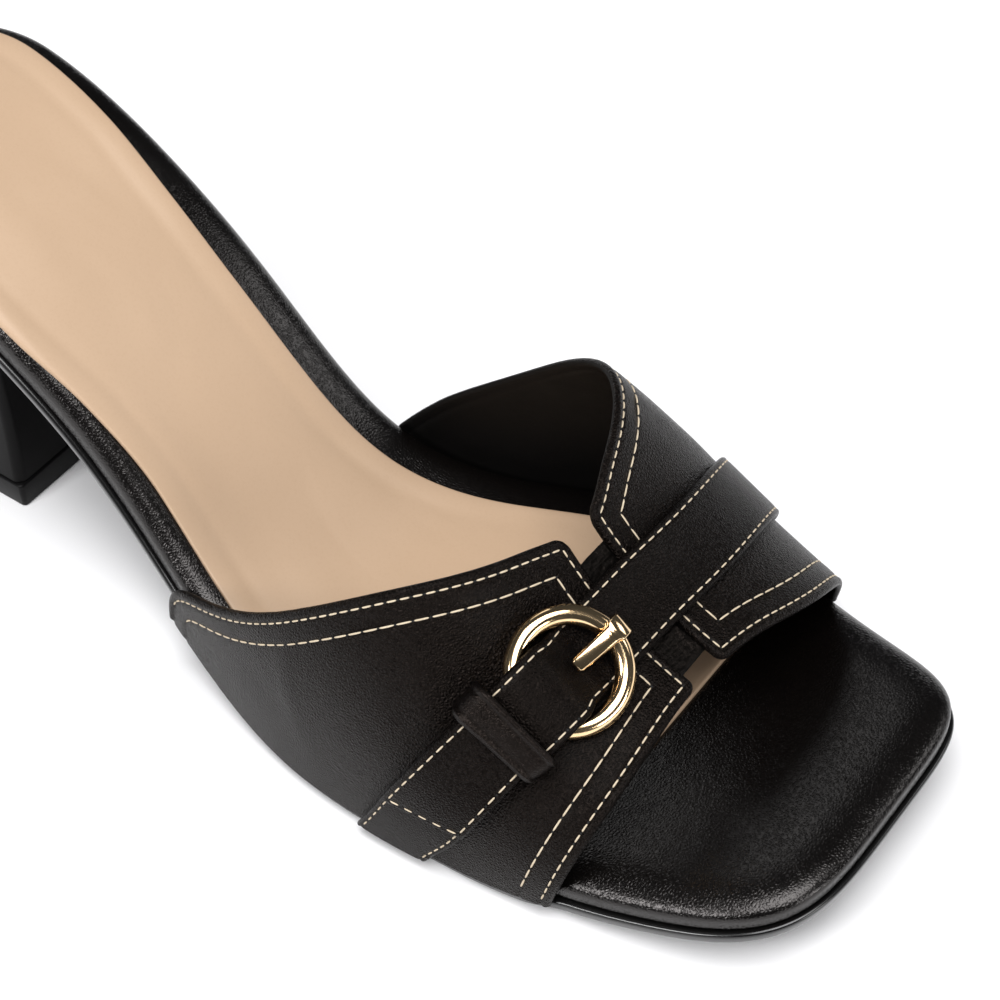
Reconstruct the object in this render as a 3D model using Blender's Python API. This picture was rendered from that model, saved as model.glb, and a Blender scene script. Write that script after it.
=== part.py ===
"""Block-heeled mule slide, right foot: a two-panel vamp with a belt strap and a ring buckle.

Metres, +X towards the toe, +Y towards the inner (medial) side of the foot, +Z up.
The shape functions work with x = 0 at the back of the footbed, y = 0 on its long axis and
z = 0 on the floor. The last step moves the whole shoe so that its box stands on the origin.
"""

import math

import bpy
import numpy as np

MM = 0.001

# Last and footbed
FOOTBED_LENGTH = 222.8 * MM
BALL_WIDTH = 83.0 * MM
SEAT_HEIGHT = 68.0 * MM
TOE_SPRING = 11.6 * MM
FOOTBED_THICKNESS = 5.4 * MM
OUTSOLE_THICKNESS = 2.5 * MM
OUTSOLE_WELT = 0.8 * MM
OUTSOLE_EDGE = 0.6 * MM
OUTSOLE_FLARE = 8.0 * MM
HEEL_END_RADIUS = 26.0 * MM
HEEL_END_FULLNESS = 2.2
TOE_CORNER = 27.5 * MM
TOE_FULLNESS = 4.5
FLAT_START = 0.60
FLAT_END = 0.75
TOE_SPRING_POWER = 1.6
FIT_GAP = 0.3 * MM

# The footbed's padded rim rolls down at the edge, and its lower edge is tight.
RIM_DROP = 3.3 * MM
RIM_FULLNESS = 2.2
RIM_UNDER_ROUND = 0.9 * MM
SIDE_BLEND = 0.4

# Insole sock
SOCK_THICKNESS = 0.7 * MM
SOCK_FRONT = 0.8214
SOCK_FRONT_CORNER = 9.0 * MM
SOCK_EDGE = 0.3 * MM
SOCK_RAMP = 2.2 * MM

# Vamp
INSTEP_HEIGHT = 61.0 * MM
VAMP_WALL = 1.5 * MM
VAMP_RIDGE_Y = -1.2 * MM
LATERAL_FULLNESS = 2.57
MEDIAL_FULLNESS = 2.07
THROAT_STATION = 0.732
TOE_EDGE_STATION = 0.8516
LATERAL_THROAT_REACH = 64.0 * MM
MEDIAL_THROAT_REACH = 60.5 * MM
TOE_EDGE_SWEEP = 5.4 * MM
EDGE_ROUND = 0.5 * MM
SLIT_WIDTH = 6.4 * MM
SLIT_THROAT_Y = -2.5 * MM
SLIT_TOE_Y = -4.1 * MM
NOTCH_DEPTH = 4.4 * MM
GORE_RECESS = 0.7 * MM
GORE_WALL = 0.8 * MM

# Strap and buckle
STRAP_WIDTH = 14.0 * MM
STRAP_LAYER = 1.3 * MM
STRAP_EDGE = 0.4 * MM
STRAP_FLAT_START = 2.2 * MM
STRAP_FLAT_END = 4.4 * MM
STRAP_END_TURN = 72.0
TAIL_END = 33.4 * MM
TAIL_SLANT = 25.0
TAIL_SLANT_FADE = 12.0 * MM
RING_RADIUS = 8.9 * MM
RING_TUBE = 1.55 * MM
RING_ANGLE = -32.6
RING_LIFT = 3.06 * MM
RING_TILT = 7.7
COLLAR_WIDTH = 3.8 * MM
PRONG_WIDTH = 2.7 * MM
PRONG_TIP_WIDTH = 2.1 * MM
PRONG_THICKNESS = 1.1 * MM
PRONG_LENGTH = 8.0 * MM
PRONG_DROP = 1.1 * MM
PRONG_BEVEL = 0.3 * MM
KEEPER_WIDTH = 5.0 * MM
KEEPER_LAYER = 1.1 * MM
KEEPER_DISTANCE = 13.1 * MM
KEEPER_BEND = 0.9 * MM
KEEPER_RIM = 0.25 * MM

# Heel
TOP_LIFT_THICKNESS = 5.3 * MM
TOP_LIFT_WELT = 0.4 * MM
TOP_LIFT_CORNER = 0.8 * MM
HEEL_FRONT = 51.6 * MM
HEEL_HALF_WIDTH = 23.3 * MM
HEEL_CORNER = 2.0 * MM

# Share of the length, then share of the seat's height over the ball.
PROFILE_TABLE = (
    (0.00, 1.000),
    (0.10, 0.970),
    (0.22, 0.830),
    (0.34, 0.535),
    (0.46, 0.150),
    (0.54, 0.022),
    (FLAT_START, 0.000),
)

# Share of the length, then lateral and medial half widths as shares of the ball width.
WIDTH_TABLE = (
    (0.00, 0.272, 0.306),
    (0.12, 0.281, 0.315),
    (0.24, 0.318, 0.297),
    (0.36, 0.330, 0.280),
    (0.48, 0.400, 0.288),
    (0.60, 0.482, 0.404),
    (0.72, 0.496, 0.505),
    (0.85, 0.466, 0.436),
    (0.96, 0.399, 0.342),
    (1.00, 0.370, 0.318),
)

# Share of the length, then how far the sock's edge lies inside the footbed's, as shares of the
# ball width, on the lateral and the medial side.
SOCK_INSET_TABLE = (
    (0.00, 0.012, 0.045),
    (0.12, 0.012, 0.052),
    (0.20, 0.012, 0.064),
    (0.28, 0.016, 0.089),
    (0.34, 0.037, 0.101),
    (0.40, 0.058, 0.103),
    (0.50, 0.056, 0.108),
    (1.00, 0.078, 0.098),
)

# Share of the length, then how wide the rolled rim of the footbed is, as shares of the ball
# width, on the lateral and the medial side.
RIM_TABLE = (
    (0.00, 0.040, 0.050),
    (0.30, 0.040, 0.070),
    (0.50, 0.060, 0.085),
    (0.64, 0.095, 0.100),
    (1.00, 0.110, 0.110),
)

# Share of the length, then the ridge's height as a share of the instep height.
RIDGE_TABLE = (
    (0.426, 1.800),
    (0.561, 1.268),
    (0.673, 1.000),
    (0.741, 0.704),
    (0.853, 0.432),
)

# Share of the way from ridge to feather edge, then how far back each side's throat edge lies,
# as shares of that side's throat reach.
THROAT_TABLE = (
    (0.00, 0.000, 0.000),
    (0.15, 0.036, 0.054),
    (0.35, 0.178, 0.235),
    (0.55, 0.559, 0.668),
    (0.75, 0.893, 0.884),
    (1.00, 1.000, 1.000),
)

# Share of the way from ridge to feather edge, then how far forward each side's toe edge lies,
# as shares of the toe edge's sweep.
TOE_EDGE_TABLE = (
    (0.00, 0.00, 0.00),
    (0.30, -0.09, 0.31),
    (0.65, -0.08, 0.65),
    (1.00, -1.00, -0.10),
)

# Share of the length, then how far the vamp stands outside the footbed on each side, as shares
# of the ball width.
VAMP_OFFSET_TABLE = (
    (0.42, 0.048, 0.034),
    (0.60, 0.040, 0.036),
    (0.83, 0.028, 0.038),
)

# Angle round the vamp in degrees, lateral side negative, then the strap's middle station as a
# share of the length.
STRAP_TABLE = (
    (-90, 0.6966),
    (-76, 0.7235),
    (-57, 0.7545),
    (-45, 0.7675),
    (-30, 0.7774),
    (0, 0.7828),
    (25, 0.7836),
    (60, 0.7651),
    (90, 0.7276),
)

# Distance from the ring's middle towards the medial side, as a share of the ring's radius, then
# the strap's lift over the vamp as a share of the ring's tube.
STRAP_LIFT_TABLE = (
    (-6.00, 1.38),
    (-2.40, 1.38),
    (-1.82, 1.65),
    (-1.25, 2.95),
    (-0.97, 3.36),
    (-0.45, 3.10),
    (0.13, 1.12),
    (0.55, 0.23),
    (6.00, 0.23),
)

# Share of the heel's height, then back and front edge and half width as shares of its foot.
HEEL_TABLE = (
    (0.00, 0.150, 0.990, 0.990),
    (0.30, 0.130, 0.968, 0.930),
    (0.65, 0.090, 0.958, 0.925),
    (1.00, 0.035, 1.000, 1.000),
)


def cubic_reader(x, y, slope):
    """Returns the function that reads a curve given by points and its slopes there."""
    step = np.diff(x)

    def read(at):
        at = np.asarray(at, float)
        k = np.clip(np.searchsorted(x, at) - 1, 0, len(x) - 2)
        t = (at - x[k]) / step[k]
        return (
            y[k] * (1 - t) ** 2 * (1 + 2 * t)
            + y[k + 1] * t**2 * (3 - 2 * t)
            + slope[k] * step[k] * t * (1 - t) ** 2
            - slope[k + 1] * step[k] * t**2 * (1 - t)
        )

    return read


def smooth_curve(stations, values, start_slope=None, end_slope=None):
    """Returns a smooth cubic through the points. An end with no slope given is left free."""
    x = np.asarray(stations, float)
    y = np.asarray(values, float)
    step = np.diff(x)
    rise = np.diff(y) / step
    count = len(x)
    matrix = np.zeros((count, count))
    right = np.zeros(count)
    for i in range(1, count - 1):
        matrix[i, i - 1] = 1 / step[i - 1]
        matrix[i, i] = 2 / step[i - 1] + 2 / step[i]
        matrix[i, i + 1] = 1 / step[i]
        right[i] = 3 * (rise[i - 1] / step[i - 1] + rise[i] / step[i])
    matrix[0, 0] = 1
    matrix[-1, -1] = 1
    if start_slope is None:
        matrix[0, 1] = 0.5
        right[0] = 1.5 * rise[0]
    else:
        right[0] = start_slope
    if end_slope is None:
        matrix[-1, -2] = 0.5
        right[-1] = 1.5 * rise[-1]
    else:
        right[-1] = end_slope
    return cubic_reader(x, y, np.linalg.solve(matrix, right))


def steady_curve(stations, values):
    """Returns a cubic through the points that never swings past them."""
    x = np.asarray(stations, float)
    y = np.asarray(values, float)
    rise = np.diff(y) / np.diff(x)
    slope = np.zeros(len(x))
    for i in range(1, len(x) - 1):
        if rise[i - 1] * rise[i] > 0:
            slope[i] = 2 * rise[i - 1] * rise[i] / (rise[i - 1] + rise[i])
    return cubic_reader(x, y, slope)


def column(table, index):
    return [row[index] for row in table]


def smooth_step(t):
    t = np.clip(t, 0.0, 1.0)
    return t * t * (3 - 2 * t)


read_profile = smooth_curve(column(PROFILE_TABLE, 0), column(PROFILE_TABLE, 1), -0.1, 0.0)
read_widths = {
    -1: smooth_curve(column(WIDTH_TABLE, 0), column(WIDTH_TABLE, 1)),
    1: smooth_curve(column(WIDTH_TABLE, 0), column(WIDTH_TABLE, 2)),
}
read_ridge = smooth_curve(column(RIDGE_TABLE, 0), column(RIDGE_TABLE, 1))
read_throat = {
    -1: smooth_curve(column(THROAT_TABLE, 0), column(THROAT_TABLE, 1), 0.0),
    1: smooth_curve(column(THROAT_TABLE, 0), column(THROAT_TABLE, 2), 0.0),
}
read_toe_edge = {
    -1: smooth_curve(column(TOE_EDGE_TABLE, 0), column(TOE_EDGE_TABLE, 1)),
    1: smooth_curve(column(TOE_EDGE_TABLE, 0), column(TOE_EDGE_TABLE, 2)),
}
read_strap = smooth_curve(column(STRAP_TABLE, 0), column(STRAP_TABLE, 1))
read_sock_inset = {
    -1: steady_curve(column(SOCK_INSET_TABLE, 0), column(SOCK_INSET_TABLE, 1)),
    1: steady_curve(column(SOCK_INSET_TABLE, 0), column(SOCK_INSET_TABLE, 2)),
}
read_rim = {
    -1: steady_curve(column(RIM_TABLE, 0), column(RIM_TABLE, 1)),
    1: steady_curve(column(RIM_TABLE, 0), column(RIM_TABLE, 2)),
}


OUTSOLE_TOP = OUTSOLE_THICKNESS
FOOTBED_BOTTOM = OUTSOLE_TOP + FIT_GAP
FOOTBED_TOP = FOOTBED_BOTTOM + FOOTBED_THICKNESS
SOCK_BOTTOM = FOOTBED_TOP + FIT_GAP


def seat_line(x):
    """Height of the footbed's upper face at station x: seat, shank, flat ball and toe spring."""
    share = np.asarray(x, float) / FOOTBED_LENGTH
    fall = SEAT_HEIGHT - FOOTBED_TOP
    arch = np.where(share < FLAT_START, fall * read_profile(share), 0.0)
    spring = np.clip((share - FLAT_END) / (1 - FLAT_END), 0.0, None)
    return FOOTBED_TOP + arch + TOE_SPRING * spring**TOE_SPRING_POWER


def slope_factor(x):
    """How much longer a vertical line through a layer is than the layer's thickness."""
    tiny = 0.1 * MM
    slope = (seat_line(x + tiny) - seat_line(x - tiny)) / (2 * tiny)
    return np.sqrt(1 + slope**2)


def layer_height(x, level):
    """Height at station x of a level that is counted up from the outsole's underside."""
    return seat_line(x) - (FOOTBED_TOP - level) * slope_factor(x)


def half_width(x, side):
    return BALL_WIDTH * read_widths[side](np.asarray(x, float) / FOOTBED_LENGTH)


def corner_point(turn, fullness):
    """Point of a rounded square corner at a turn of 0 to 90 degrees."""
    c = np.abs(np.cos(turn)) + 1e-12
    s = np.abs(np.sin(turn)) + 1e-12
    radius = (c**fullness + s**fullness) ** (-1 / fullness)
    return radius * np.cos(turn), radius * np.sin(turn)


def footbed_side(side, heel_steps=9, mid_steps=26, toe_steps=13):
    """Plan points of one side's edge, from the heel's back to the toe's front."""
    turn = np.linspace(0, np.pi / 2, heel_steps)
    across, along = corner_point(np.pi / 2 - turn, HEEL_END_FULLNESS)
    heel_x = HEEL_END_RADIUS * (1 - along)
    heel_y = half_width(heel_x, side) * across
    toe_start = FOOTBED_LENGTH - TOE_CORNER
    mid_x = np.linspace(HEEL_END_RADIUS, toe_start, mid_steps)[1:-1]
    mid_y = half_width(mid_x, side)
    turn = np.linspace(0, np.pi / 2, toe_steps)
    along, across = corner_point(np.pi / 2 - turn, TOE_FULLNESS)
    toe_x = (toe_start + TOE_CORNER * along)
    toe_y = half_width(toe_x, side) * across
    x = np.concatenate([heel_x, mid_x, toe_x])
    y = np.concatenate([heel_y, mid_y, toe_y])
    return np.stack([x, side * y], -1)


def footbed_outline():
    """Closed plan outline, anticlockwise from above, starting at the heel's back."""
    lateral = footbed_side(-1)
    medial = footbed_side(1)
    lateral[0, 1] = lateral[-1, 1] = 0.0
    return np.concatenate([lateral, medial[-2:0:-1]])


def outward(outline):
    """Outward unit normals of a closed plan outline."""
    along = np.roll(outline, -1, 0) - np.roll(outline, 1, 0)
    normal = np.stack([along[:, 1], -along[:, 0]], -1)
    return normal / np.linalg.norm(normal, axis=1)[:, None]


def spine_of(stations, start, end):
    """The points of the middle line that the edge points at these stations shrink towards."""
    x = np.clip(stations, start, end)
    middle = (half_width(x, 1) - half_width(x, -1)) / 2
    return np.stack([x, middle], -1)


def make_material(name, colour, roughness, metallic=0.0):
    material = bpy.data.materials.new(name)
    material.use_nodes = True
    shader = material.node_tree.nodes["Principled BSDF"]
    shader.inputs["Base Color"].default_value = (*colour, 1.0)
    shader.inputs["Roughness"].default_value = roughness
    shader.inputs["Metallic"].default_value = metallic
    return material


def make_object(name, points, faces, material, sharp_degrees=40):
    mesh = bpy.data.meshes.new(name)
    mesh.from_pydata([tuple(map(float, p)) for p in points], [], faces)
    mesh.validate()
    mesh.update()
    mesh.shade_smooth()
    mesh.set_sharp_from_angle(angle=math.radians(sharp_degrees))
    mesh.materials.append(material)
    obj = bpy.data.objects.new(name, mesh)
    bpy.context.scene.collection.objects.link(obj)
    return obj


def ring_stack(rings, top_spine, bottom_spine):
    """Points and faces of a closed solid made of stacked rings, the first ring on top.

    Each ring is a list of 3-D points. A spine gives, for each ring point, the point of the cap's
    middle line that closes it, and ring points that share a spine point meet in one vertex.
    """
    points = []
    index = []
    for ring in rings:
        index.append([len(points) + i for i in range(len(ring))])
        points.extend(ring)
    count = len(rings[0])

    def spine_index(spine):
        found = {}
        order = []
        for p in spine:
            key = tuple(np.round(np.asarray(p, float) / (0.001 * MM)).astype(int))
            if key not in found:
                found[key] = len(points)
                points.append(p)
            order.append(found[key])
        return order

    faces = []

    def band(upper, lower):
        for i in range(count):
            j = (i + 1) % count
            loop = [upper[j], upper[i], lower[i], lower[j]]
            kept = [v for n, v in enumerate(loop) if v != loop[n - 1]]
            if len(kept) > 2:
                faces.append(kept)

    band(spine_index(top_spine), index[0])
    for upper, lower in zip(index[:-1], index[1:]):
        band(upper, lower)
    band(index[-1], spine_index(bottom_spine))
    return points, faces


def lift(plan, level):
    """Plan points raised to a level of the sole."""
    return np.column_stack([plan, layer_height(plan[:, 0], level)])


def sole_layer(outline, grow, bottom, top, edge_round, shares, steps=3):
    """Rings of a layer of the sole with rounded edges, and its two spines."""
    normal = outward(outline)
    edge = outline + normal * np.asarray(grow)[:, None]
    spine = spine_of(outline[:, 0], HEEL_END_RADIUS, FOOTBED_LENGTH - TOE_CORNER)
    levels = []
    for share in shares:
        levels.append((share, edge_round, top))
    for turn in np.linspace(0, np.pi / 2, steps + 1):
        inset = edge_round * (1 - math.sin(turn))
        levels.append((0.0, inset, top - edge_round * (1 - math.cos(turn))))
    for turn in np.linspace(np.pi / 2, 0, steps + 1):
        inset = edge_round * (1 - math.sin(turn))
        levels.append((0.0, inset, bottom + edge_round * (1 - math.cos(turn))))
    for share in reversed(shares):
        levels.append((share, edge_round, bottom))
    rings = []
    last = None
    for share, inset, level in levels:
        if last is not None and np.allclose(last, (share, inset, level), atol=1e-7):
            continue
        last = (share, inset, level)
        plan = (edge - normal * inset) * (1 - share) + spine * share
        rings.append(lift(plan, level))
    return rings, lift(spine, top), lift(spine, bottom)


def vamp_offset(x, side):
    share = np.asarray(x, float) / FOOTBED_LENGTH
    values = column(VAMP_OFFSET_TABLE, 1 if side < 0 else 2)
    return BALL_WIDTH * np.interp(share, column(VAMP_OFFSET_TABLE, 0), values)


def vamp_point(x, angle):
    """Point of the vamp's outer face at station x, at an angle in degrees from its ridge.

    The section is a rounded arch over the outsole's top. Angles of -90 and 90 are its lateral
    and medial feather edges.
    """
    x = np.asarray(x, float)
    turn = np.radians(np.asarray(angle, float))
    x, turn = np.broadcast_arrays(x, turn)
    base = layer_height(x, OUTSOLE_TOP + FIT_GAP)
    rise = INSTEP_HEIGHT * read_ridge(x / FOOTBED_LENGTH) - OUTSOLE_TOP - FIT_GAP
    s = np.abs(np.sin(turn)) + 1e-9
    c = np.abs(np.cos(turn)) + 1e-9
    radius = np.zeros_like(x)
    for side, fullness in ((-1, LATERAL_FULLNESS), (1, MEDIAL_FULLNESS)):
        reach = half_width(x, side) + vamp_offset(x, side) - side * VAMP_RIDGE_Y
        found = ((s / reach) ** fullness + (c / rise) ** fullness) ** (-1 / fullness)
        radius = np.where(turn * side >= 0, found, radius)
    return np.stack([x, VAMP_RIDGE_Y + radius * np.sin(turn), base + radius * c], -1)


def vamp_normal(x, angle):
    """Outward unit normal of the vamp's outer face."""
    step_x = 0.2 * MM
    step_angle = 0.5
    angle = np.clip(np.asarray(angle, float), -90 + step_angle, 90 - step_angle)
    along = vamp_point(x + step_x, angle) - vamp_point(x - step_x, angle)
    round_it = vamp_point(x, angle + step_angle) - vamp_point(x, angle - step_angle)
    normal = np.cross(along, round_it)
    return normal / np.linalg.norm(normal, axis=-1)[..., None]


def throat_x(angle):
    angle = np.asarray(angle, float)
    way = np.abs(angle) / 90
    start = THROAT_STATION * FOOTBED_LENGTH
    lateral = start - LATERAL_THROAT_REACH * read_throat[-1](way)
    medial = start - MEDIAL_THROAT_REACH * read_throat[1](way)
    return np.where(angle < 0, lateral, medial)


def toe_edge_x(angle):
    angle = np.asarray(angle, float)
    way = np.abs(angle) / 90
    start = TOE_EDGE_STATION * FOOTBED_LENGTH
    lateral = start + TOE_EDGE_SWEEP * read_toe_edge[-1](way)
    medial = start + TOE_EDGE_SWEEP * read_toe_edge[1](way)
    return np.where(angle < 0, lateral, medial)


def slit_angles(share):
    """Angles of the slit's lateral and medial edges, at a share of the way to the toe edge."""
    middle = SLIT_THROAT_Y + (SLIT_TOE_Y - SLIT_THROAT_Y) * share
    start = throat_x(0.0)
    x = start + (toe_edge_x(0.0) - start) * share
    rise = vamp_point(x, 0.0)[..., 2] - layer_height(x, OUTSOLE_TOP + FIT_GAP)
    edges = []
    for half in (-SLIT_WIDTH / 2, SLIT_WIDTH / 2):
        edges.append(np.degrees(np.arcsin((middle + half - VAMP_RIDGE_Y) / rise)))
    return edges


def thick_sheet(outer, inner, present):
    """Points and faces of a sheet with two grids of points and a table of the cells it has."""
    rows, columns = present.shape
    used = {}
    points = []

    def vertex(layer, i, j):
        key = (layer, i, j)
        if key not in used:
            used[key] = len(points)
            points.append(outer[i][j] if layer == 0 else inner[i][j])
        return used[key]

    def has(i, j):
        return 0 <= i < rows and 0 <= j < columns and present[i, j]

    faces = []
    for i in range(rows):
        for j in range(columns):
            if not present[i, j]:
                continue
            corners = ((i, j), (i + 1, j), (i + 1, j + 1), (i, j + 1))
            faces.append([vertex(0, *c) for c in corners])
            faces.append([vertex(1, *c) for c in reversed(corners)])
            for a, b, neighbour in (
                (corners[0], corners[1], (i, j - 1)),
                (corners[1], corners[2], (i + 1, j)),
                (corners[2], corners[3], (i, j + 1)),
                (corners[3], corners[0], (i - 1, j)),
            ):
                if not has(*neighbour):
                    wall = [vertex(0, *b), vertex(0, *a), vertex(1, *a), vertex(1, *b)]
                    faces.append(wall)
    return points, faces


def build_outsole(material):
    outline = footbed_outline()
    grow = np.full(len(outline), OUTSOLE_WELT)
    blend = OUTSOLE_FLARE
    for i, (x, y) in enumerate(outline):
        side = -1 if y < 0 else 1
        start = throat_x(90.0 * side)
        end = toe_edge_x(90.0 * side)
        under = smooth_step((x - start + blend) / blend) * smooth_step((end + blend - x) / blend)
        wide = vamp_offset(x, side) - 2 * FIT_GAP
        grow[i] += (wide - OUTSOLE_WELT) * under
    rings, top, bottom = sole_layer(outline, grow, 0.0, OUTSOLE_TOP, OUTSOLE_EDGE, (0.5,), 1)
    make_object("outsole", *ring_stack(rings, top, bottom), material)


def edge_measure(read, x, y):
    """A width measured in from an edge point. Both sides' values blend round heel and toe."""
    share = x / FOOTBED_LENGTH
    side = smooth_step(0.5 + y / (BALL_WIDTH * SIDE_BLEND))
    return BALL_WIDTH * (read[-1](share) * (1 - side) + read[1](share) * side)


def rim_drop(share):
    """How far the upper face has dropped at a share of the rim's width from the edge."""
    near = np.clip(1 - share, 0.0, 1.0)
    return RIM_DROP * (1 - math.sqrt(max(0.0, 1 - near**RIM_FULLNESS)))


def build_footbed(material):
    """The padded footbed: its upper face rolls over at the rim to a low side wall."""
    outline = footbed_outline()
    normal = outward(outline)
    rim = edge_measure(read_rim, outline[:, 0], outline[:, 1])[:, None]
    spine = spine_of(outline[:, 0], HEEL_END_RADIUS, FOOTBED_LENGTH - TOE_CORNER)
    rings = [lift((outline - normal * rim) * 0.5 + spine * 0.5, FOOTBED_TOP)]
    for share in (1.0, 0.7, 0.47, 0.3, 0.16, 0.05, 0.0):
        rings.append(lift(outline - normal * rim * share, FOOTBED_TOP - rim_drop(share)))
    for turn in np.radians((90, 45, 0)):
        inset = RIM_UNDER_ROUND * (1 - math.sin(turn))
        level = FOOTBED_BOTTOM + RIM_UNDER_ROUND * (1 - math.cos(turn))
        rings.append(lift(outline - normal * inset, level))
    rings.append(lift(outline * 0.5 + spine * 0.5, FOOTBED_BOTTOM))
    stack = ring_stack(rings, lift(spine, FOOTBED_TOP), lift(spine, FOOTBED_BOTTOM))
    make_object("footbed", *stack, material, 60)


def sock_outline():
    """The sock's plan outline, with each point's station and its place on the rolled rim.

    It follows the footbed's edge at the table's insets and is cut off square before the toe. The
    place on the rim is the distance from the footbed's edge and the rim's width there.
    """
    outline = footbed_outline()
    normal = outward(outline)
    front = SOCK_FRONT * FOOTBED_LENGTH
    corner_x = front - SOCK_FRONT_CORNER
    lateral = []
    medial = []
    for (x, y), (nx, ny) in zip(outline, normal):
        inset = edge_measure(read_sock_inset, x, y)
        rim = edge_measure(read_rim, x, y)
        if x - nx * inset < corner_x:
            kept = lateral if y < 0 or x < FIT_GAP else medial
            kept.append((x - nx * inset, y - ny * inset, x, inset, rim))
    lateral_y = lateral[-1][1] + SOCK_FRONT_CORNER
    medial_y = medial[0][1] - SOCK_FRONT_CORNER
    turns = np.radians((0, 22.5, 45, 67.5, 90))
    corners = []
    for turn in turns:
        x = corner_x + SOCK_FRONT_CORNER * math.sin(turn)
        corners.append((x, lateral_y - SOCK_FRONT_CORNER * math.cos(turn), front, 1.0, 1.0))
    for share in (0.25, 0.5, 0.75):
        corners.append((front, lateral_y + (medial_y - lateral_y) * share, front, 1.0, 1.0))
    for turn in turns[::-1]:
        x = corner_x + SOCK_FRONT_CORNER * math.sin(turn)
        corners.append((x, medial_y + SOCK_FRONT_CORNER * math.cos(turn), front, 1.0, 1.0))
    found = np.array(lateral + corners + medial)
    return found[:, :2], found[:, 2], found[:, 3], found[:, 4]


def build_sock(material):
    """The thin sock, which follows the upper face and, near its edge, the rolled rim."""
    outline, stations, inset, rim = sock_outline()
    end = SOCK_FRONT * FOOTBED_LENGTH - 2 * SOCK_FRONT_CORNER
    spine = spine_of(stations, HEEL_END_RADIUS, end)
    top = SOCK_BOTTOM + SOCK_THICKNESS
    normal = outward(outline)
    inner = outline * 0.5 + spine * 0.5

    def ring(inward, level):
        drop = np.array([rim_drop((i + inward) / r) for i, r in zip(inset, rim)])
        plan = outline - normal * inward
        return np.column_stack([plan, layer_height(plan[:, 0], level) - drop])

    rings = [
        lift(inner, top),
        ring(SOCK_RAMP, top),
        ring(SOCK_RAMP / 2, top),
        ring(SOCK_EDGE, top),
        ring(0.0, top - SOCK_EDGE),
        ring(0.0, SOCK_BOTTOM),
        ring(SOCK_RAMP / 2, SOCK_BOTTOM),
        ring(SOCK_RAMP, SOCK_BOTTOM),
        lift(inner, SOCK_BOTTOM),
    ]
    stack = ring_stack(rings, lift(spine, top), lift(spine, SOCK_BOTTOM))
    make_object("insole_sock", *stack, material, 30)


def build_upper(material):
    side_steps = 19
    start_notch = (0.0, None, 0.07)
    inner_rows = (0.22, 0.30, 0.38, 0.46, 0.54, 0.62, 0.70, 0.78)
    slit_length = np.linalg.norm(vamp_point(toe_edge_x(0.0), 0.0) - vamp_point(throat_x(0.0), 0.0))
    notch = NOTCH_DEPTH / slit_length
    rows = [*start_notch, notch, *inner_rows, 1 - notch, 0.93, None, 1.0]
    outer = []
    inner = []
    step = 0.2 * MM
    for number, row in enumerate(rows):
        fixed = row if row is not None else (0.0 if number == 1 else 1.0)
        left, right = slit_angles(np.array(fixed))
        tiny = np.degrees(step / INSTEP_HEIGHT) * 2
        lateral = -90 + (left + 90) * np.linspace(0, 1, side_steps)
        medial = right + (90 - right) * np.linspace(0, 1, side_steps)
        gore = np.array([left + tiny, (left + right) / 2, right - tiny])
        angles = np.concatenate([lateral, gore, medial])
        start = throat_x(angles)
        end = toe_edge_x(angles)
        length = np.linalg.norm(vamp_point(end, angles) - vamp_point(start, angles), axis=-1)
        share = np.full(len(angles), fixed)
        if row is None:
            share = EDGE_ROUND / length if number == 1 else 1 - EDGE_ROUND / length
        x = start + (end - start) * share
        point = vamp_point(x, angles)
        normal = vamp_normal(x, angles)
        normal[0, 2] = normal[-1, 2] = 0.0
        normal /= np.linalg.norm(normal, axis=-1)[:, None]
        rim = 0.4 * EDGE_ROUND if number in (0, len(rows) - 1) else 0.0
        depth_out = np.full(len(angles), 2 * rim)
        depth_in = np.full(len(angles), VAMP_WALL - rim)
        depth_out[side_steps : side_steps + 3] = GORE_RECESS
        depth_in[side_steps : side_steps + 3] = GORE_RECESS + GORE_WALL
        outer.append(point - normal * depth_out[:, None])
        inner.append(point - normal * depth_in[:, None])
    present = np.ones((len(rows) - 1, 2 * side_steps + 2), bool)
    gore_start = rows.index(notch)
    gore_end = rows.index(1 - notch)
    for i in range(len(rows) - 1):
        if i < gore_start or i >= gore_end:
            present[i, side_steps - 1 : side_steps + 3] = False
    points, faces = thick_sheet(outer, inner, present)
    make_object("upper", points, faces, material, 50)


def walk(x, angle, direction, distance, steps=6):
    """Walks straight over the vamp from a place, and returns the station and angle it ends at."""
    for _ in range(steps):
        along = (vamp_point(x + 0.1 * MM, angle) - vamp_point(x - 0.1 * MM, angle)) / (0.2 * MM)
        round_it = (vamp_point(x, angle + 0.1) - vamp_point(x, angle - 0.1)) / 0.2
        sides = np.array([along, round_it])
        share = np.linalg.solve(sides @ sides.T, sides @ direction)
        step = share @ sides
        length = np.linalg.norm(step)
        direction = step / length
        x = x + share[0] / length * distance / steps
        angle = angle + share[1] / length * distance / steps
    return x, angle


strap_lift = steady_curve(column(STRAP_LIFT_TABLE, 0), column(STRAP_LIFT_TABLE, 1))


def strap_underside(along):
    """Height of the upper strap layer's underside over the vamp."""
    share = np.clip(along / RING_RADIUS, STRAP_LIFT_TABLE[0][0], STRAP_LIFT_TABLE[-1][0])
    return RING_TUBE * strap_lift(share)


def strap_flatness(along):
    """How far the strap's cross-section is flat: 0 on the vamp, 1 where it rides over the ring."""
    span = STRAP_FLAT_END - STRAP_FLAT_START
    return smooth_step((strap_underside(along) - STRAP_FLAT_START) / span)


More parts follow.
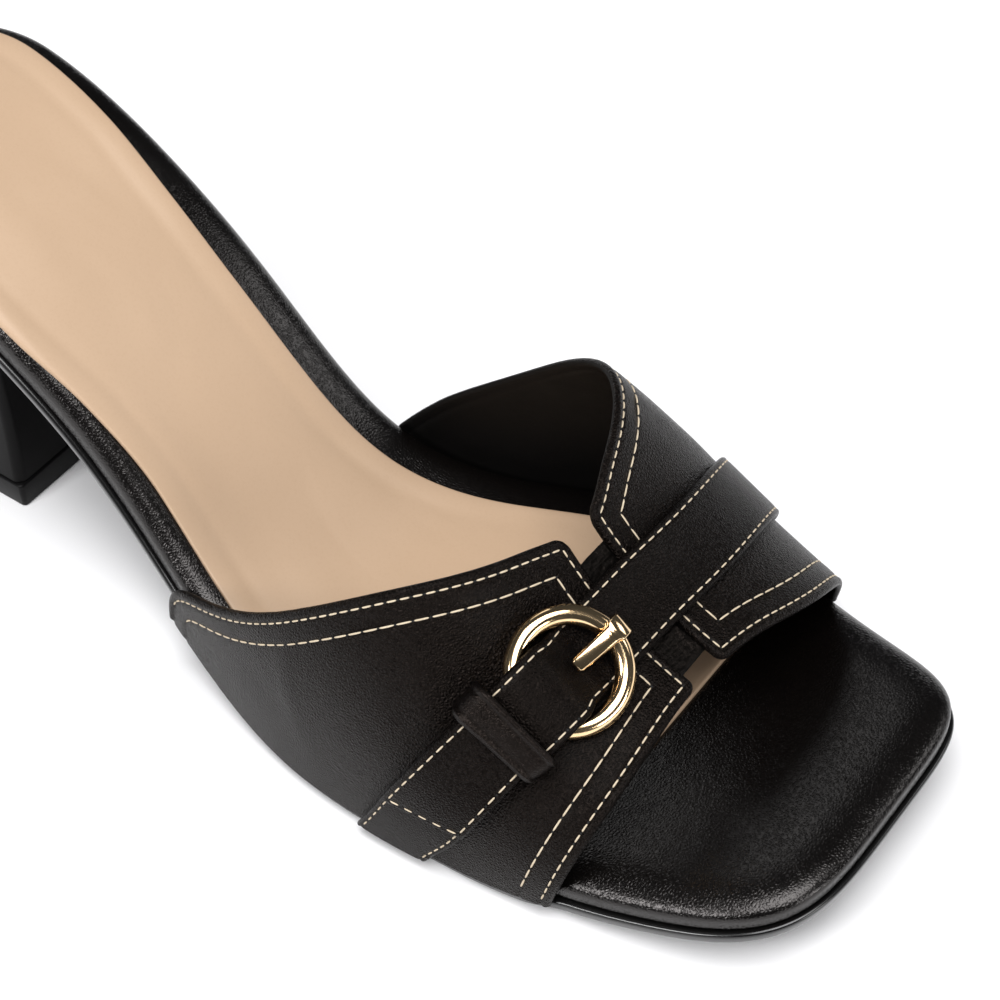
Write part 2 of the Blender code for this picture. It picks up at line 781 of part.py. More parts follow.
class Strap:
    """Places points over the vamp by their distance along and across the strap.

    Distances are measured on the vamp, and across means square to the strap's middle line. Near
    its two ends the sections turn until they lie along the vamp's feather edge.
    """

    def __init__(self):
        self.angles = np.linspace(-90, 90, 721)
        middle = self.middle(self.angles)
        steps = np.linalg.norm(np.diff(middle, axis=0), axis=-1)
        travelled = np.concatenate([[0.0], np.cumsum(steps)])
        self.along = travelled - np.interp(RING_ANGLE, self.angles, travelled)

    def middle(self, angle):
        return vamp_point(read_strap(angle) * FOOTBED_LENGTH, angle)

    def section(self, along):
        """Middle line's place, its outward normal and the direction across, towards the toe."""
        angle = float(np.interp(along, self.along, self.angles))
        x = float(read_strap(angle)) * FOOTBED_LENGTH
        normal = vamp_normal(x, angle)
        ahead = self.middle(angle + 0.2) - self.middle(angle - 0.2)
        across = np.cross(ahead, normal)
        return x, angle, normal, across / np.linalg.norm(across)

    def place(self, along, across, height):
        x, angle, up, aside = self.section(along)
        flat = vamp_point(x, angle) + aside * across + up * height
        step = 0.5 * MM
        speed = np.linalg.norm(vamp_point(x + step, angle) - vamp_point(x - step, angle)) / (2 * step)
        level = np.array([x + across / speed, angle])
        square = np.array(walk(x, angle, aside, across))
        ending = smooth_step((abs(angle) - STRAP_END_TURN) / (90 - STRAP_END_TURN))
        x, angle = square * (1 - ending) + level * ending
        bent = vamp_point(x, angle) + vamp_normal(x, angle) * height
        share = strap_flatness(along) * np.clip(height / strap_underside(along), 0.0, 1.0)
        return bent * (1 - share) + flat * share

    def lateral_end(self):
        return float(self.along[0])

    def medial_end(self):
        return float(self.along[-1])


def slanted(along, across, end):
    """Distance along the strap of a section point, with the tail's end cut at a slant."""
    fade = smooth_step(1 - (along - end) / TAIL_SLANT_FADE)
    return along + across * math.tan(math.radians(TAIL_SLANT)) * fade


def strip(strap, stations, width, underside, thickness, tail=None):
    """Grids of a leather strip with softened edges, and its full table of cells."""
    half = width / 2
    columns = (
        (half, STRAP_EDGE),
        (half - STRAP_EDGE, 0.0),
        (0.0, 0.0),
        (-half + STRAP_EDGE, 0.0),
        (-half, STRAP_EDGE),
    )
    outer = []
    inner = []
    for station in stations:
        outer_row = []
        inner_row = []
        for across, drop in columns:
            along = station if tail is None else slanted(station, across, tail)
            low = underside(along)
            outer_row.append(strap.place(along, across, low + thickness - drop))
            inner_row.append(strap.place(along, across, low))
        outer.append(outer_row)
        inner.append(inner_row)
    return outer, inner, np.ones((len(stations) - 1, len(columns) - 1), bool)


def strap_stations(strap, start, end):
    """Distances along the strap where its layers have a section, closest at the buckle.

    Both layers use the same ones, so that their faces lie parallel where they overlap.
    """
    near = -2.4 * RING_RADIUS
    far = 1.1 * RING_RADIUS
    stations = np.concatenate(
        [
            np.linspace(strap.lateral_end(), near, 15)[:-1],
            np.linspace(near, far, 25),
            np.linspace(far, strap.medial_end(), 19)[1:],
        ]
    )
    spare = STRAP_EDGE
    inside = stations[(stations > start + spare) & (stations < end - spare)]
    return np.concatenate([[start], inside, [end]])


def build_strap(material):
    strap = Strap()
    stations = strap_stations(strap, -TAIL_END, strap.medial_end())
    sheet = strip(strap, stations, STRAP_WIDTH, strap_underside, STRAP_LAYER, -TAIL_END)
    points, faces = thick_sheet(*sheet)
    make_object("strap", points, faces, material, 50)


def build_strap_anchor(material):
    """The strap's lower layer, which comes up from the sole and ends under the keeper."""
    strap = Strap()
    end = -KEEPER_DISTANCE - KEEPER_WIDTH / 2
    stations = strap_stations(strap, strap.lateral_end(), end)
    thickness = RING_TUBE * STRAP_LIFT_TABLE[0][1] - 2 * FIT_GAP

    def underside(along):
        return FIT_GAP

    points, faces = thick_sheet(*strip(strap, stations, STRAP_WIDTH, underside, thickness))
    make_object("strap_anchor", points, faces, material, 50)


def keeper_path(height, grow):
    """Half-round path over the strap from its toe side to its heel side, a layer's growth out."""
    half = STRAP_WIDTH / 2 + FIT_GAP
    top = height - KEEPER_BEND
    path = [(half + grow, FIT_GAP), (half + grow, top * 0.6), (half + grow, top)]
    for turn in np.radians((30, 60, 90)):
        across = half - KEEPER_BEND + (KEEPER_BEND + grow) * math.cos(turn)
        path.append((across, top + (KEEPER_BEND + grow) * math.sin(turn)))
    back = [(-across, up) for across, up in path[::-1]]
    return [*path, (0.0, height + grow), *back]


def build_keeper(material):
    """A loop over the strap whose two feet stand on the vamp."""
    strap = Strap()
    outer = []
    inner = []
    for share in (-1.0, -0.88, 0.0, 0.88, 1.0):
        along = -KEEPER_DISTANCE + share * KEEPER_WIDTH / 2
        rim = KEEPER_RIM if abs(share) == 1.0 else 0.0
        height = strap_underside(along) + STRAP_LAYER + 1.8 * FIT_GAP
        inner.append([strap.place(along, *p) for p in keeper_path(height, 0.0)])
        outer.append([strap.place(along, *p) for p in keeper_path(height, KEEPER_LAYER - rim)])
    present = np.ones((len(outer) - 1, len(outer[0]) - 1), bool)
    points, faces = thick_sheet(outer, inner, present)
    make_object("strap_keeper", points, faces, material, 50)


def ring_frame():
    """The ring's middle, its direction along the strap, across it, and its outward axis.

    The ring is tilted, since its medial side lies on the strap and its lateral side under it.
    """
    strap = Strap()
    _, _, normal, _ = strap.section(0.0)
    point = strap.place(0.0, 0.0, 0.0)
    level = strap.place(1.0 * MM, 0.0, 0.0) - point
    level -= normal * np.dot(level, normal)
    level /= np.linalg.norm(level)
    tilt = math.radians(RING_TILT)
    along = level * math.cos(tilt) + normal * math.sin(tilt)
    axis = normal * math.cos(tilt) - level * math.sin(tilt)
    return point + normal * RING_LIFT, along, np.cross(along, axis), axis


def sweep(path, sections, closed):
    """Points and faces of a tube through sections that all have the same number of points."""
    points = [p for section in sections for p in section]
    count = len(sections[0])
    faces = []
    total = len(path)
    for i in range(total if closed else total - 1):
        a = i * count
        b = (i + 1) % total * count
        for j in range(count):
            k = (j + 1) % count
            faces.append([a + j, a + k, b + k, b + j])
    if not closed:
        faces.append(list(range(count))[::-1])
        faces.append([(total - 1) * count + j for j in range(count)])
    return points, faces


def build_ring(material):
    centre, along, across, axis = ring_frame()
    around = 44
    sides = 12
    turns = np.linspace(0, 2 * np.pi, around, endpoint=False)
    sections = []
    for turn in turns:
        outwards = along * math.cos(turn) + across * math.sin(turn)
        middle = centre + outwards * RING_RADIUS
        section = []
        for roll in np.linspace(0, 2 * np.pi, sides, endpoint=False):
            section.append(
                middle + RING_TUBE * (outwards * math.cos(roll) + axis * math.sin(roll))
            )
        sections.append(section)
    points, faces = sweep(turns, sections, True)
    make_object("buckle_ring", points, faces, material, 60)


def build_prong(material):
    """A flat bar hooked over the ring's medial side, its tip on the strap inside the ring."""
    centre, along, across, axis = ring_frame()
    tube_middle = centre + along * RING_RADIUS
    hook = RING_TUBE + FIT_GAP + PRONG_THICKNESS / 2
    path = []
    for turn in np.radians((-20, 5, 30, 55, 80, 105)):
        path.append((hook * math.cos(turn), hook * math.sin(turn)))
    collar_rows = len(path)
    for share in (0.2, 0.3, 0.65, 0.9, 1.0):
        path.append((-PRONG_LENGTH * share, hook - PRONG_DROP * share**2))
    path = np.array(path)
    tangent = np.gradient(path, axis=0)
    tangent /= np.linalg.norm(tangent, axis=1)[:, None]
    sections = []
    for number, ((out, up), (t_out, t_up)) in enumerate(zip(path, tangent)):
        middle = tube_middle + along * out + axis * up
        side = along * t_up - axis * t_out
        narrow = 0.75 if number == len(path) - 1 else 1.0
        reach = np.clip(-out / PRONG_LENGTH, 0.0, 1.0)
        tongue = PRONG_WIDTH + (PRONG_TIP_WIDTH - PRONG_WIDTH) * reach
        half = (COLLAR_WIDTH if number < collar_rows else tongue) / 2 * narrow
        thick = PRONG_THICKNESS / 2 * narrow
        cut = PRONG_BEVEL
        section = []
        for a, b in (
            (-half, -thick + cut),
            (-half + cut, -thick),
            (half - cut, -thick),
            (half, -thick + cut),
            (half, thick - cut),
            (half - cut, thick),
            (-half + cut, thick),
            (-half, thick - cut),
        ):
            section.append(middle + across * a + side * b)
        sections.append(section)
    points, faces = sweep(path, sections, False)
    make_object("buckle_prong", points, faces, material, 40)


def heel_outline(back, front, half, bend=HEEL_CORNER):
    """Closed plan outline of the heel: round at the back, with a flat breast in front."""
    turns = np.linspace(0, np.pi / 2, 8)
    across, along = corner_point(np.pi / 2 - turns, HEEL_END_FULLNESS)
    round_x = back + HEEL_END_RADIUS * 0.85 * (1 - along)
    lateral = [(x, -half * a) for x, a in zip(round_x, across)]
    straight = np.linspace(lateral[-1][0], front - bend, 4)[1:]
    lateral += [(x, -half) for x in straight]
    for turn in np.radians((30, 60, 90)):
        x = front - bend + bend * math.sin(turn)
        lateral.append((x, -half + bend * (1 - math.cos(turn))))
    lateral.append((front, -half / 2))
    lateral[0] = (back, 0.0)
    middle = [(front, 0.0)]
    medial = [(x, -y) for x, y in lateral[:0:-1]]
    return np.array(lateral + middle + medial)


def heel_section(share, grow=0.0, bend=HEEL_CORNER):
    """Plan outline of the heel at a share of its height, grown outwards."""
    shares = column(HEEL_TABLE, 0)
    back = HEEL_FRONT * smooth_curve(shares, column(HEEL_TABLE, 1))(share)
    front = HEEL_FRONT * smooth_curve(shares, column(HEEL_TABLE, 2))(share)
    half = HEEL_HALF_WIDTH * smooth_curve(shares, column(HEEL_TABLE, 3))(share)
    return heel_outline(float(back) - grow, float(front) + grow, float(half) + grow, bend)


def heel_spine(outline):
    x = np.clip(outline[:, 0], 0.55 * HEEL_FRONT, 0.75 * HEEL_FRONT)
    return np.column_stack([x, np.zeros(len(x))])


def build_heel(material):
    rings = []
    shares = (1.0, 0.86, 0.72, 0.58, 0.44, 0.3, 0.16, 0.0)
    floor = TOP_LIFT_THICKNESS + FIT_GAP
    top_plan = heel_section(1.0)
    for share in shares:
        plan = heel_section(share)
        seat = layer_height(top_plan[:, 0], -FIT_GAP)
        height = floor + (seat - floor) * share
        rings.append(np.column_stack([plan, height]))
    spine = heel_spine(top_plan)
    rings.insert(0, lift(top_plan * 0.5 + spine * 0.5, -FIT_GAP))
    low_spine = heel_spine(heel_section(0.0))
    bottom = np.column_stack([low_spine, np.full(len(low_spine), floor)])
    make_object("heel", *ring_stack(rings, lift(spine, -FIT_GAP), bottom), material, 35)


def build_top_lift(material):
    plan = heel_section(0.0, TOP_LIFT_WELT, TOP_LIFT_CORNER)
    spine = heel_spine(plan)
    rings = []
    for level in (TOP_LIFT_THICKNESS, 0.0):
        rings.append(np.column_stack([plan, np.full(len(plan), level)]))
    top = np.column_stack([spine, np.full(len(spine), TOP_LIFT_THICKNESS)])
    bottom = np.column_stack([spine, np.zeros(len(spine))])
    make_object("heel_top_lift", *ring_stack(rings, top, bottom), material, 35)


def stand_on_origin():
    """Moves the shoe so that the middle of its box's underside is at the origin."""
    corners = []
    for obj in bpy.context.scene.objects:
        corners += [v.co.copy() for v in obj.data.vertices]
    xs = [c.x for c in corners]
    ys = [c.y for c in corners]
    shift_x = -(min(xs) + max(xs)) / 2
    shift_y = -(min(ys) + max(ys)) / 2
    for obj in bpy.context.scene.objects:
        obj.location = (shift_x, shift_y, 0.0)


def main():
    for obj in list(bpy.data.objects):
        bpy.data.objects.remove(obj)
    build_outsole(make_material("outsole_rubber", (0.020, 0.019, 0.019), 0.55))
    build_footbed(make_material("footbed_leather", (0.016, 0.015, 0.015), 0.42))
    build_sock(make_material("sock_leather", (0.72, 0.52, 0.38), 0.55))
    leather = make_material("vamp_leather", (0.016, 0.015, 0.015), 0.40)
    build_upper(leather)
    build_strap(make_material("strap_leather", (0.015, 0.014, 0.014), 0.38))
    build_strap_anchor(make_material("anchor_leather", (0.015, 0.014, 0.014), 0.38))
    build_keeper(make_material("keeper_leather", (0.014, 0.013, 0.013), 0.34))
    build_ring(make_material("ring_gold", (0.90, 0.74, 0.48), 0.14, 1.0))
    build_prong(make_material("prong_gold", (0.90, 0.74, 0.48), 0.16, 1.0))
    build_heel(make_material("heel_satin_black", (0.012, 0.012, 0.013), 0.32))
    build_top_lift(make_material("top_lift_rubber", (0.012, 0.012, 0.012), 0.60))
    stand_on_origin()


main()
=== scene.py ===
"""Looks of the block-heeled slide sandal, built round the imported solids.

The shape functions repeat the part's own, in millimetres, with x = 0 at the back of the
footbed. A side is -1 on the lateral and 1 on the medial half. Meshes are moved into the
row frame when they are made.
"""

import math

import bmesh
import bpy
import numpy as np
from mathutils import Matrix, Vector
from mathutils.kdtree import KDTree


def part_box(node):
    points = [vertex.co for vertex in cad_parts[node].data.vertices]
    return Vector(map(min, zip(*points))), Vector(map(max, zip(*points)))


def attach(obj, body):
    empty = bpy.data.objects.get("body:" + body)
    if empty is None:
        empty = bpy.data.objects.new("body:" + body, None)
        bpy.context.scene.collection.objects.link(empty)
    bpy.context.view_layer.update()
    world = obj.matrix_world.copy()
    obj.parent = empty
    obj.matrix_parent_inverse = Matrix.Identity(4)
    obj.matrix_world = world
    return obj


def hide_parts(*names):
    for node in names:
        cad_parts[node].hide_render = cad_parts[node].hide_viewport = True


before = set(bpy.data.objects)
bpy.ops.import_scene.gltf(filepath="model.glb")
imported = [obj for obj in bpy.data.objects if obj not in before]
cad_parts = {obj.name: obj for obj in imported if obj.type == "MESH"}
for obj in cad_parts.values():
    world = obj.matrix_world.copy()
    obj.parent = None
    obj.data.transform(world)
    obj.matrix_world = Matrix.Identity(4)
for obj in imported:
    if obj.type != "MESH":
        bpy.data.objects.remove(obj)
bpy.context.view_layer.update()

# The part's sizes, in millimetres, degrees and shares of the length
LENGTH = 222.8
BALL = 83.0
SEAT = 68.0
SPRING = 11.6
FLAT_START, FLAT_END = 0.60, 0.75
FOOTBED = 5.4
OUTSOLE = 2.5
WELT = 0.8
GAP = 0.3
HEEL_END = 26.0
HEEL_FULLNESS = 2.2
TOE_CORNER = 27.5
TOE_FULLNESS = 4.5
RIM_DROP = 3.3
RIM_UNDER = 0.9
SOCK_T = 0.75
SOCK_FRONT = 0.8174
SOCK_CORNER = 13.0
INSTEP = 61.0
WALL = 1.5
RIDGE_Y = -1.2
FULLNESS = {-1: 2.57, 1: 2.07}
THROAT_AT = 0.732
THROAT_REACH = {-1: -64.0, 1: -60.5}
TOE_EDGE_AT = 0.8516
TOE_EDGE_REACH = {-1: 5.4, 1: 5.4}
SLIT = 6.4
SLIT_Y = -2.5
SLIT_DRIFT = -1.6
STRAP_W = 14.0
STRAP_T = 1.35
LOWER_T = 1.45
STRAP_END_TURN = 72.0
TAIL_END = 33.4
TAIL_SLANT = 25.0
TAIL_SLANT_FADE = 12.0
KEEPER_AT = 13.1
KEEPER_W = 5.0
KEEPER_T = 1.1
RING_R = 8.9
RING_T = 1.68
RING_ANGLE = -32.6
RING_LIFT = 3.06
RING_TILT = 7.7
PRONG_LENGTH = 8.0
PRONG_T = 0.55
LIFT_T = 5.3
HEEL_FRONT = 51.6
HEEL_HALF = 23.3

LIFT_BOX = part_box("heel_top_lift")
SHIFT = np.array([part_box("footbed")[0].x, (LIFT_BOX[0].y + LIFT_BOX[1].y) / 2, 0.0]) * 1000

# Share of the length, share of the seat's rise
PROFILE = ((0, 1), (0.10, 0.97), (0.22, 0.83), (0.34, 0.535), (0.46, 0.15), (0.54, 0.022), (0.6, 0))
# Share of the length, lateral and medial half width as shares of the ball width
WIDTHS = (
    (0.00, 0.272, 0.306),
    (0.12, 0.281, 0.315),
    (0.24, 0.318, 0.297),
    (0.36, 0.330, 0.280),
    (0.48, 0.400, 0.288),
    (0.60, 0.482, 0.404),
    (0.72, 0.496, 0.505),
    (0.85, 0.466, 0.436),
    (0.96, 0.399, 0.342),
    (1.00, 0.370, 0.318),
)
# Share of the length, the sock's lateral and medial inset as shares of the ball width
SOCK_INSETS = (
    (0.00, 0.012, 0.045),
    (0.12, 0.012, 0.052),
    (0.20, 0.012, 0.064),
    (0.28, 0.016, 0.089),
    (0.34, 0.037, 0.101),
    (0.40, 0.058, 0.103),
    (0.50, 0.056, 0.108),
    (1.00, 0.078, 0.098),
)
# Share of the length, the rolled rim's lateral and medial width as shares of the ball width
RIMS = (
    (0.00, 0.040, 0.050),
    (0.30, 0.040, 0.070),
    (0.50, 0.060, 0.085),
    (0.64, 0.095, 0.100),
    (1.00, 0.110, 0.110),
)
# Share of the length, the vamp's ridge height as a share of the instep height
RIDGE = ((0.426, 1.8), (0.561, 1.268), (0.673, 1.0), (0.741, 0.704), (0.853, 0.432))
# Share of the way from the ridge to the feather edge, lateral and medial share of the edge's reach
THROAT = (
    (0.00, 0.000, 0.000),
    (0.15, 0.036, 0.054),
    (0.35, 0.178, 0.235),
    (0.55, 0.559, 0.668),
    (0.75, 0.893, 0.884),
    (1.00, 1.000, 1.000),
)
TOE_EDGE = ((0, 0, 0), (0.3, -0.09, 0.31), (0.65, -0.08, 0.65), (1, -1, -0.10))
# Share of the length, how far the vamp's foot stands out of the footbed on either side
VAMP_OFFSET = ((0.42, 0.048, 0.034), (0.60, 0.040, 0.036), (0.83, 0.028, 0.038))
# Angle round the vamp, the strap's middle as a share of the length
STRAP = (
    (-90, 0.6966),
    (-76, 0.7235),
    (-57, 0.7545),
    (-45, 0.7675),
    (-30, 0.7774),
    (0, 0.7828),
    (25, 0.7836),
    (60, 0.7651),
    (90, 0.7276),
)
# Distance along the strap in ring radii, the underside's height in wire radii
STRAP_LIFT = (
    (-6.00, 1.38),
    (-2.40, 1.38),
    (-1.82, 1.65),
    (-1.25, 2.95),
    (-0.97, 3.36),
    (-0.45, 3.10),
    (0.13, 1.12),
    (0.55, 0.23),
    (6.00, 0.23),
)
WIRE = 1.55
# Share of the heel's height, its back, front and half width as shares of the largest ones
HEEL = (
    (0.00, 0.150, 0.990, 0.990),
    (0.30, 0.130, 0.968, 0.930),
    (0.65, 0.090, 0.958, 0.925),
    (1.00, 0.035, 1.000, 1.000),
)


# Curves and the last


def cubic(x, y, slope):
    """Reads a curve through places with given slopes."""
    step = np.diff(x)

    def read(at):
        at = np.asarray(at, float)
        k = np.clip(np.searchsorted(x, at) - 1, 0, len(x) - 2)
        t = (at - x[k]) / step[k]
        return (
            y[k] * (1 - t) ** 2 * (1 + 2 * t)
            + y[k + 1] * t**2 * (3 - 2 * t)
            + slope[k] * step[k] * t * (1 - t) ** 2
            - slope[k + 1] * step[k] * t**2 * (1 - t)
        )

    return read


def smooth(table, column=1, start=None, end=None):
    """A natural cubic through a column, or one with a given slope at an end."""
    x, y = np.array(table, float).T[[0, column]]
    step = np.diff(x)
    rise = np.diff(y) / step
    n = len(x)
    matrix = np.eye(n)
    right = np.zeros(n)
    for i in range(1, n - 1):
        matrix[i, i - 1 : i + 2] = (1 / step[i - 1], 2 / step[i - 1] + 2 / step[i], 1 / step[i])
        right[i] = 3 * (rise[i - 1] / step[i - 1] + rise[i] / step[i])
    right[0] = 1.5 * rise[0] if start is None else start
    right[-1] = 1.5 * rise[-1] if end is None else end
    if start is None:
        matrix[0, 1] = 0.5
    if end is None:
        matrix[-1, -2] = 0.5
    return cubic(x, y, np.linalg.solve(matrix, right))


def steady(table, column=1):
    """A curve through a column that never overshoots its values."""
    x, y = np.array(table, float).T[[0, column]]
    rise = np.diff(y) / np.diff(x)
    slope = np.zeros(len(x))
    for i in range(1, len(x) - 1):
        if rise[i - 1] * rise[i] > 0:
            slope[i] = 2 * rise[i - 1] * rise[i] / (rise[i - 1] + rise[i])
    return cubic(x, y, slope)


def both_sides(reader, table, *ends):
    return {side: reader(table, column, *ends) for side, column in ((-1, 1), (1, 2))}


read_profile = smooth(PROFILE, 1, -0.1, 0.0)
read_width = both_sides(smooth, WIDTHS)
read_rim = both_sides(steady, RIMS)
read_inset = both_sides(steady, SOCK_INSETS)
read_ridge = smooth(RIDGE)
read_throat = both_sides(smooth, THROAT, 0.0)
read_toe = both_sides(smooth, TOE_EDGE)
read_strap = smooth(STRAP)
read_lift = steady(STRAP_LIFT)

BED = OUTSOLE + GAP
TOP = BED + FOOTBED


def seat(x):
    """Height of the footbed's upper face along the shoe."""
    share = np.asarray(x, float) / LENGTH
    arch = np.where(share < FLAT_START, (SEAT - TOP) * read_profile(share), 0.0)
    return TOP + arch + SPRING * np.clip((share - FLAT_END) / (1 - FLAT_END), 0, None) ** 1.6


def level(x, height):
    """Height above the floor of a layer, from its height where the sole is flat."""
    slope = (seat(x + 0.1) - seat(x - 0.1)) / 0.2
    return seat(x) - (TOP - height) * np.sqrt(1 + slope**2)


def level_ring(plan, height):
    return np.column_stack([plan, level(plan[:, 0], height)])


def half_width(x, side):
    return BALL * read_width[side](np.asarray(x, float) / LENGTH)


def corner(turn, fullness):
    """A quarter of a rounded corner. A fullness of 2 is a circle."""
    c = np.abs(np.cos(turn)) + 1e-12
    s = np.abs(np.sin(turn)) + 1e-12
    radius = (c**fullness + s**fullness) ** (-1 / fullness)
    return radius * np.cos(turn), radius * np.sin(turn)


def side_edge(side):
    """The footbed's edge on one side, from the back of the heel to the front of the toe."""
    across, along = corner(np.linspace(np.pi / 2, 0, 40), HEEL_FULLNESS)
    middle = np.linspace(HEEL_END, LENGTH - TOE_CORNER, 150)[1:-1]
    toe_along, toe_across = corner(np.linspace(np.pi / 2, 0, 60), TOE_FULLNESS)
    x = np.concatenate([HEEL_END * (1 - along), middle, LENGTH - TOE_CORNER * (1 - toe_along)])
    share = np.concatenate([across, np.ones(len(middle)), toe_across])
    return np.column_stack([x, side * half_width(x, side) * share])


def run_along(path):
    """Distances along a polyline."""
    return np.concatenate([[0], np.cumsum(np.linalg.norm(np.diff(path, axis=0), axis=1))])


def even(points, spacing):
    """The polyline's points again, at even spacing."""
    run = run_along(points)
    keep = np.concatenate([[True], np.diff(run) > 1e-9])
    at = np.linspace(0, run[-1], max(2, int(round(run[-1] / spacing)) + 1))
    return np.stack([np.interp(at, run[keep], points[keep, k]) for k in range(3)], -1)


def ease(t):
    t = np.clip(t, 0.0, 1.0)
    return t * t * (3 - 2 * t)


def unit(vectors):
    return vectors / np.linalg.norm(vectors, axis=-1)[..., None]


def outward(outline):
    along = np.roll(outline, -1, 0) - np.roll(outline, 1, 0)
    return unit(np.stack([along[:, 1], -along[:, 0]], -1))


LATERAL = side_edge(-1)
MEDIAL = side_edge(1)
LATERAL[0, 1] = LATERAL[-1, 1] = 0.0
OUTLINE = np.concatenate([LATERAL, MEDIAL[-2:0:-1]])
OUTLINE_OUT = outward(OUTLINE)


def edge_measure(read, x, y):
    """A width measured in from the footbed's edge. Both sides' values blend round heel and toe."""
    share = x / LENGTH
    side = ease(0.5 + y / (BALL * 0.4))
    return BALL * (read[-1](share) * (1 - side) + read[1](share) * side)


def line_distance(points, line):
    """Distance of plan points from a closed polyline, and the nearest place on it."""
    step = np.roll(line, -1, 0) - line
    size = (step**2).sum(1) + 1e-12
    best = np.zeros(len(points))
    near = np.zeros_like(points)
    for begin in range(0, len(points), 2000):
        part = slice(begin, begin + 2000)
        away = points[part, None] - line[None]
        t = np.clip((away * step).sum(-1) / size, 0, 1)
        foot = line[None] + step[None] * t[..., None]
        gap = np.linalg.norm(points[part, None] - foot, axis=-1)
        rows, k = np.arange(len(gap)), gap.argmin(1)
        best[part] = gap[rows, k]
        near[part] = foot[rows, k]
    return best, near


def rim_fall(share):
    """How far the rim lies below the upper face, at a share of its width from the edge."""
    near = np.clip(1 - share, 0, 1)
    return RIM_DROP * (1 - np.sqrt(np.clip(1 - near**2.2, 0, 1)))


def top_surface(plan, lift=0.0):
    """Height of the footbed's upper face, with its padded, rolled rim."""
    away, near = line_distance(plan, OUTLINE)
    return level(plan[:, 0], TOP + lift) - rim_fall(away / edge_measure(read_rim, *near.T))


# The vamp


def vamp_offset(x, side):
    share, *sides = np.array(VAMP_OFFSET).T
    return BALL * np.interp(np.asarray(x, float) / LENGTH, share, sides[side > 0])


def vamp(x, angle):
    """A point of the vamp's outer face, by its station and its angle from the ridge."""
    x, turn = np.broadcast_arrays(np.asarray(x, float), np.radians(np.asarray(angle, float)))
    rise = INSTEP * read_ridge(x / LENGTH) - BED
    s = np.abs(np.sin(turn)) + 1e-9
    c = np.abs(np.cos(turn)) + 1e-9
    radius = np.zeros_like(x)
    for side, full in FULLNESS.items():
        reach = half_width(x, side) + vamp_offset(x, side) - side * RIDGE_Y
        found = ((s / reach) ** full + (c / rise) ** full) ** (-1 / full)
        radius = np.where(turn * side >= 0, found, radius)
    return np.stack([x, RIDGE_Y + radius * np.sin(turn), level(x, BED) + radius * c], -1)


def vamp_normal(x, angle):
    angle = np.clip(np.asarray(angle, float), -89.5, 89.5)
    along = vamp(x + 0.2, angle) - vamp(x - 0.2, angle)
    around = vamp(x, angle + 0.5) - vamp(x, angle - 0.5)
    return unit(np.cross(along, around))


def edge_x(angle, start, reach, read):
    """Station of one of the vamp's edges at an angle."""
    angle = np.asarray(angle, float)
    way = np.abs(angle) / 90
    sides = {side: start * LENGTH + reach[side] * read[side](way) for side in (-1, 1)}
    return np.where(angle < 0, sides[-1], sides[1])


def throat_x(angle):
    return edge_x(angle, THROAT_AT, THROAT_REACH, read_throat)


def toe_x(angle):
    return edge_x(angle, TOE_EDGE_AT, TOE_EDGE_REACH, read_toe)


def station(angle, share):
    """Station at a share of the way from the throat's edge to the toe's edge."""
    start = throat_x(angle)
    return start + (toe_x(angle) - start) * share


def panel_length(angle):
    return np.linalg.norm(vamp(toe_x(angle), angle) - vamp(throat_x(angle), angle), axis=-1)


def slit_angle(share, side):
    """Angle of the slit's edge at a share of the way from throat to toe."""
    middle = SLIT_Y + SLIT_DRIFT * np.asarray(share, float)
    x = station(0.0, share)
    rise = vamp(x, 0.0)[..., 2] - level(x, BED)
    return np.degrees(np.arcsin((middle + side * SLIT / 2 - RIDGE_Y) / rise))


def vamp_move(x, angle, direction):
    """Changes of station and angle for a direction along the vamp, and the move that they make."""
    dx = (vamp(x + 0.1, angle) - vamp(x - 0.1, angle)) / 0.2
    da = (vamp(x, angle + 0.1) - vamp(x, angle - 0.1)) / 0.2
    e, f, g = (dx * dx).sum(-1), (dx * da).sum(-1), (da * da).sum(-1)
    p, q = (dx * direction).sum(-1), (da * direction).sum(-1)
    scale = e * g - f * f
    mx, ma = (g * p - f * q) / scale, (e * q - f * p) / scale
    return mx, ma, dx * mx[..., None] + da * ma[..., None]


# Meshes


def make(name, points, faces, materials, node, slot, angle=60, indices=None):
    """A piece of the shoe. Loose points go, and its faces are turned to point out."""
    points = (np.asarray(points, float) + SHIFT) * 0.001
    data = bpy.data.meshes.new(name)
    data.from_pydata(points.tolist(), [], [list(map(int, f)) for f in faces])
    data.validate()
    mesh = bmesh.new()
    mesh.from_mesh(data)
    bmesh.ops.delete(mesh, geom=[v for v in mesh.verts if not v.link_faces])
    bmesh.ops.recalc_face_normals(mesh, faces=mesh.faces)
    mesh.to_mesh(data)
    mesh.free()
    data.update()
    data.shade_smooth()
    data.set_sharp_from_angle(angle=math.radians(angle))
    for material in materials:
        data.materials.append(material)
    if indices is not None:
        data.polygons.foreach_set("material_index", np.asarray(indices, np.int32))
    piece = bpy.data.objects.new(name, data)
    bpy.context.scene.collection.objects.link(piece)
    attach(piece, "root")
    if node:
        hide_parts(node)


def grid(rows, columns, base=0, wrap_rows=False, wrap_columns=False):
    """Quads of a grid of points that are stored row by row."""
    i, j = np.meshgrid(
        np.arange(rows if wrap_rows else rows - 1),
        np.arange(columns if wrap_columns else columns - 1),
        indexing="ij",
    )
    low, high = i * columns, (i + 1) % rows * columns
    after = (j + 1) % columns
    quads = np.stack([low + j, high + j, high + after, low + after], -1)
    return (quads.reshape(-1, 4) + base).tolist()


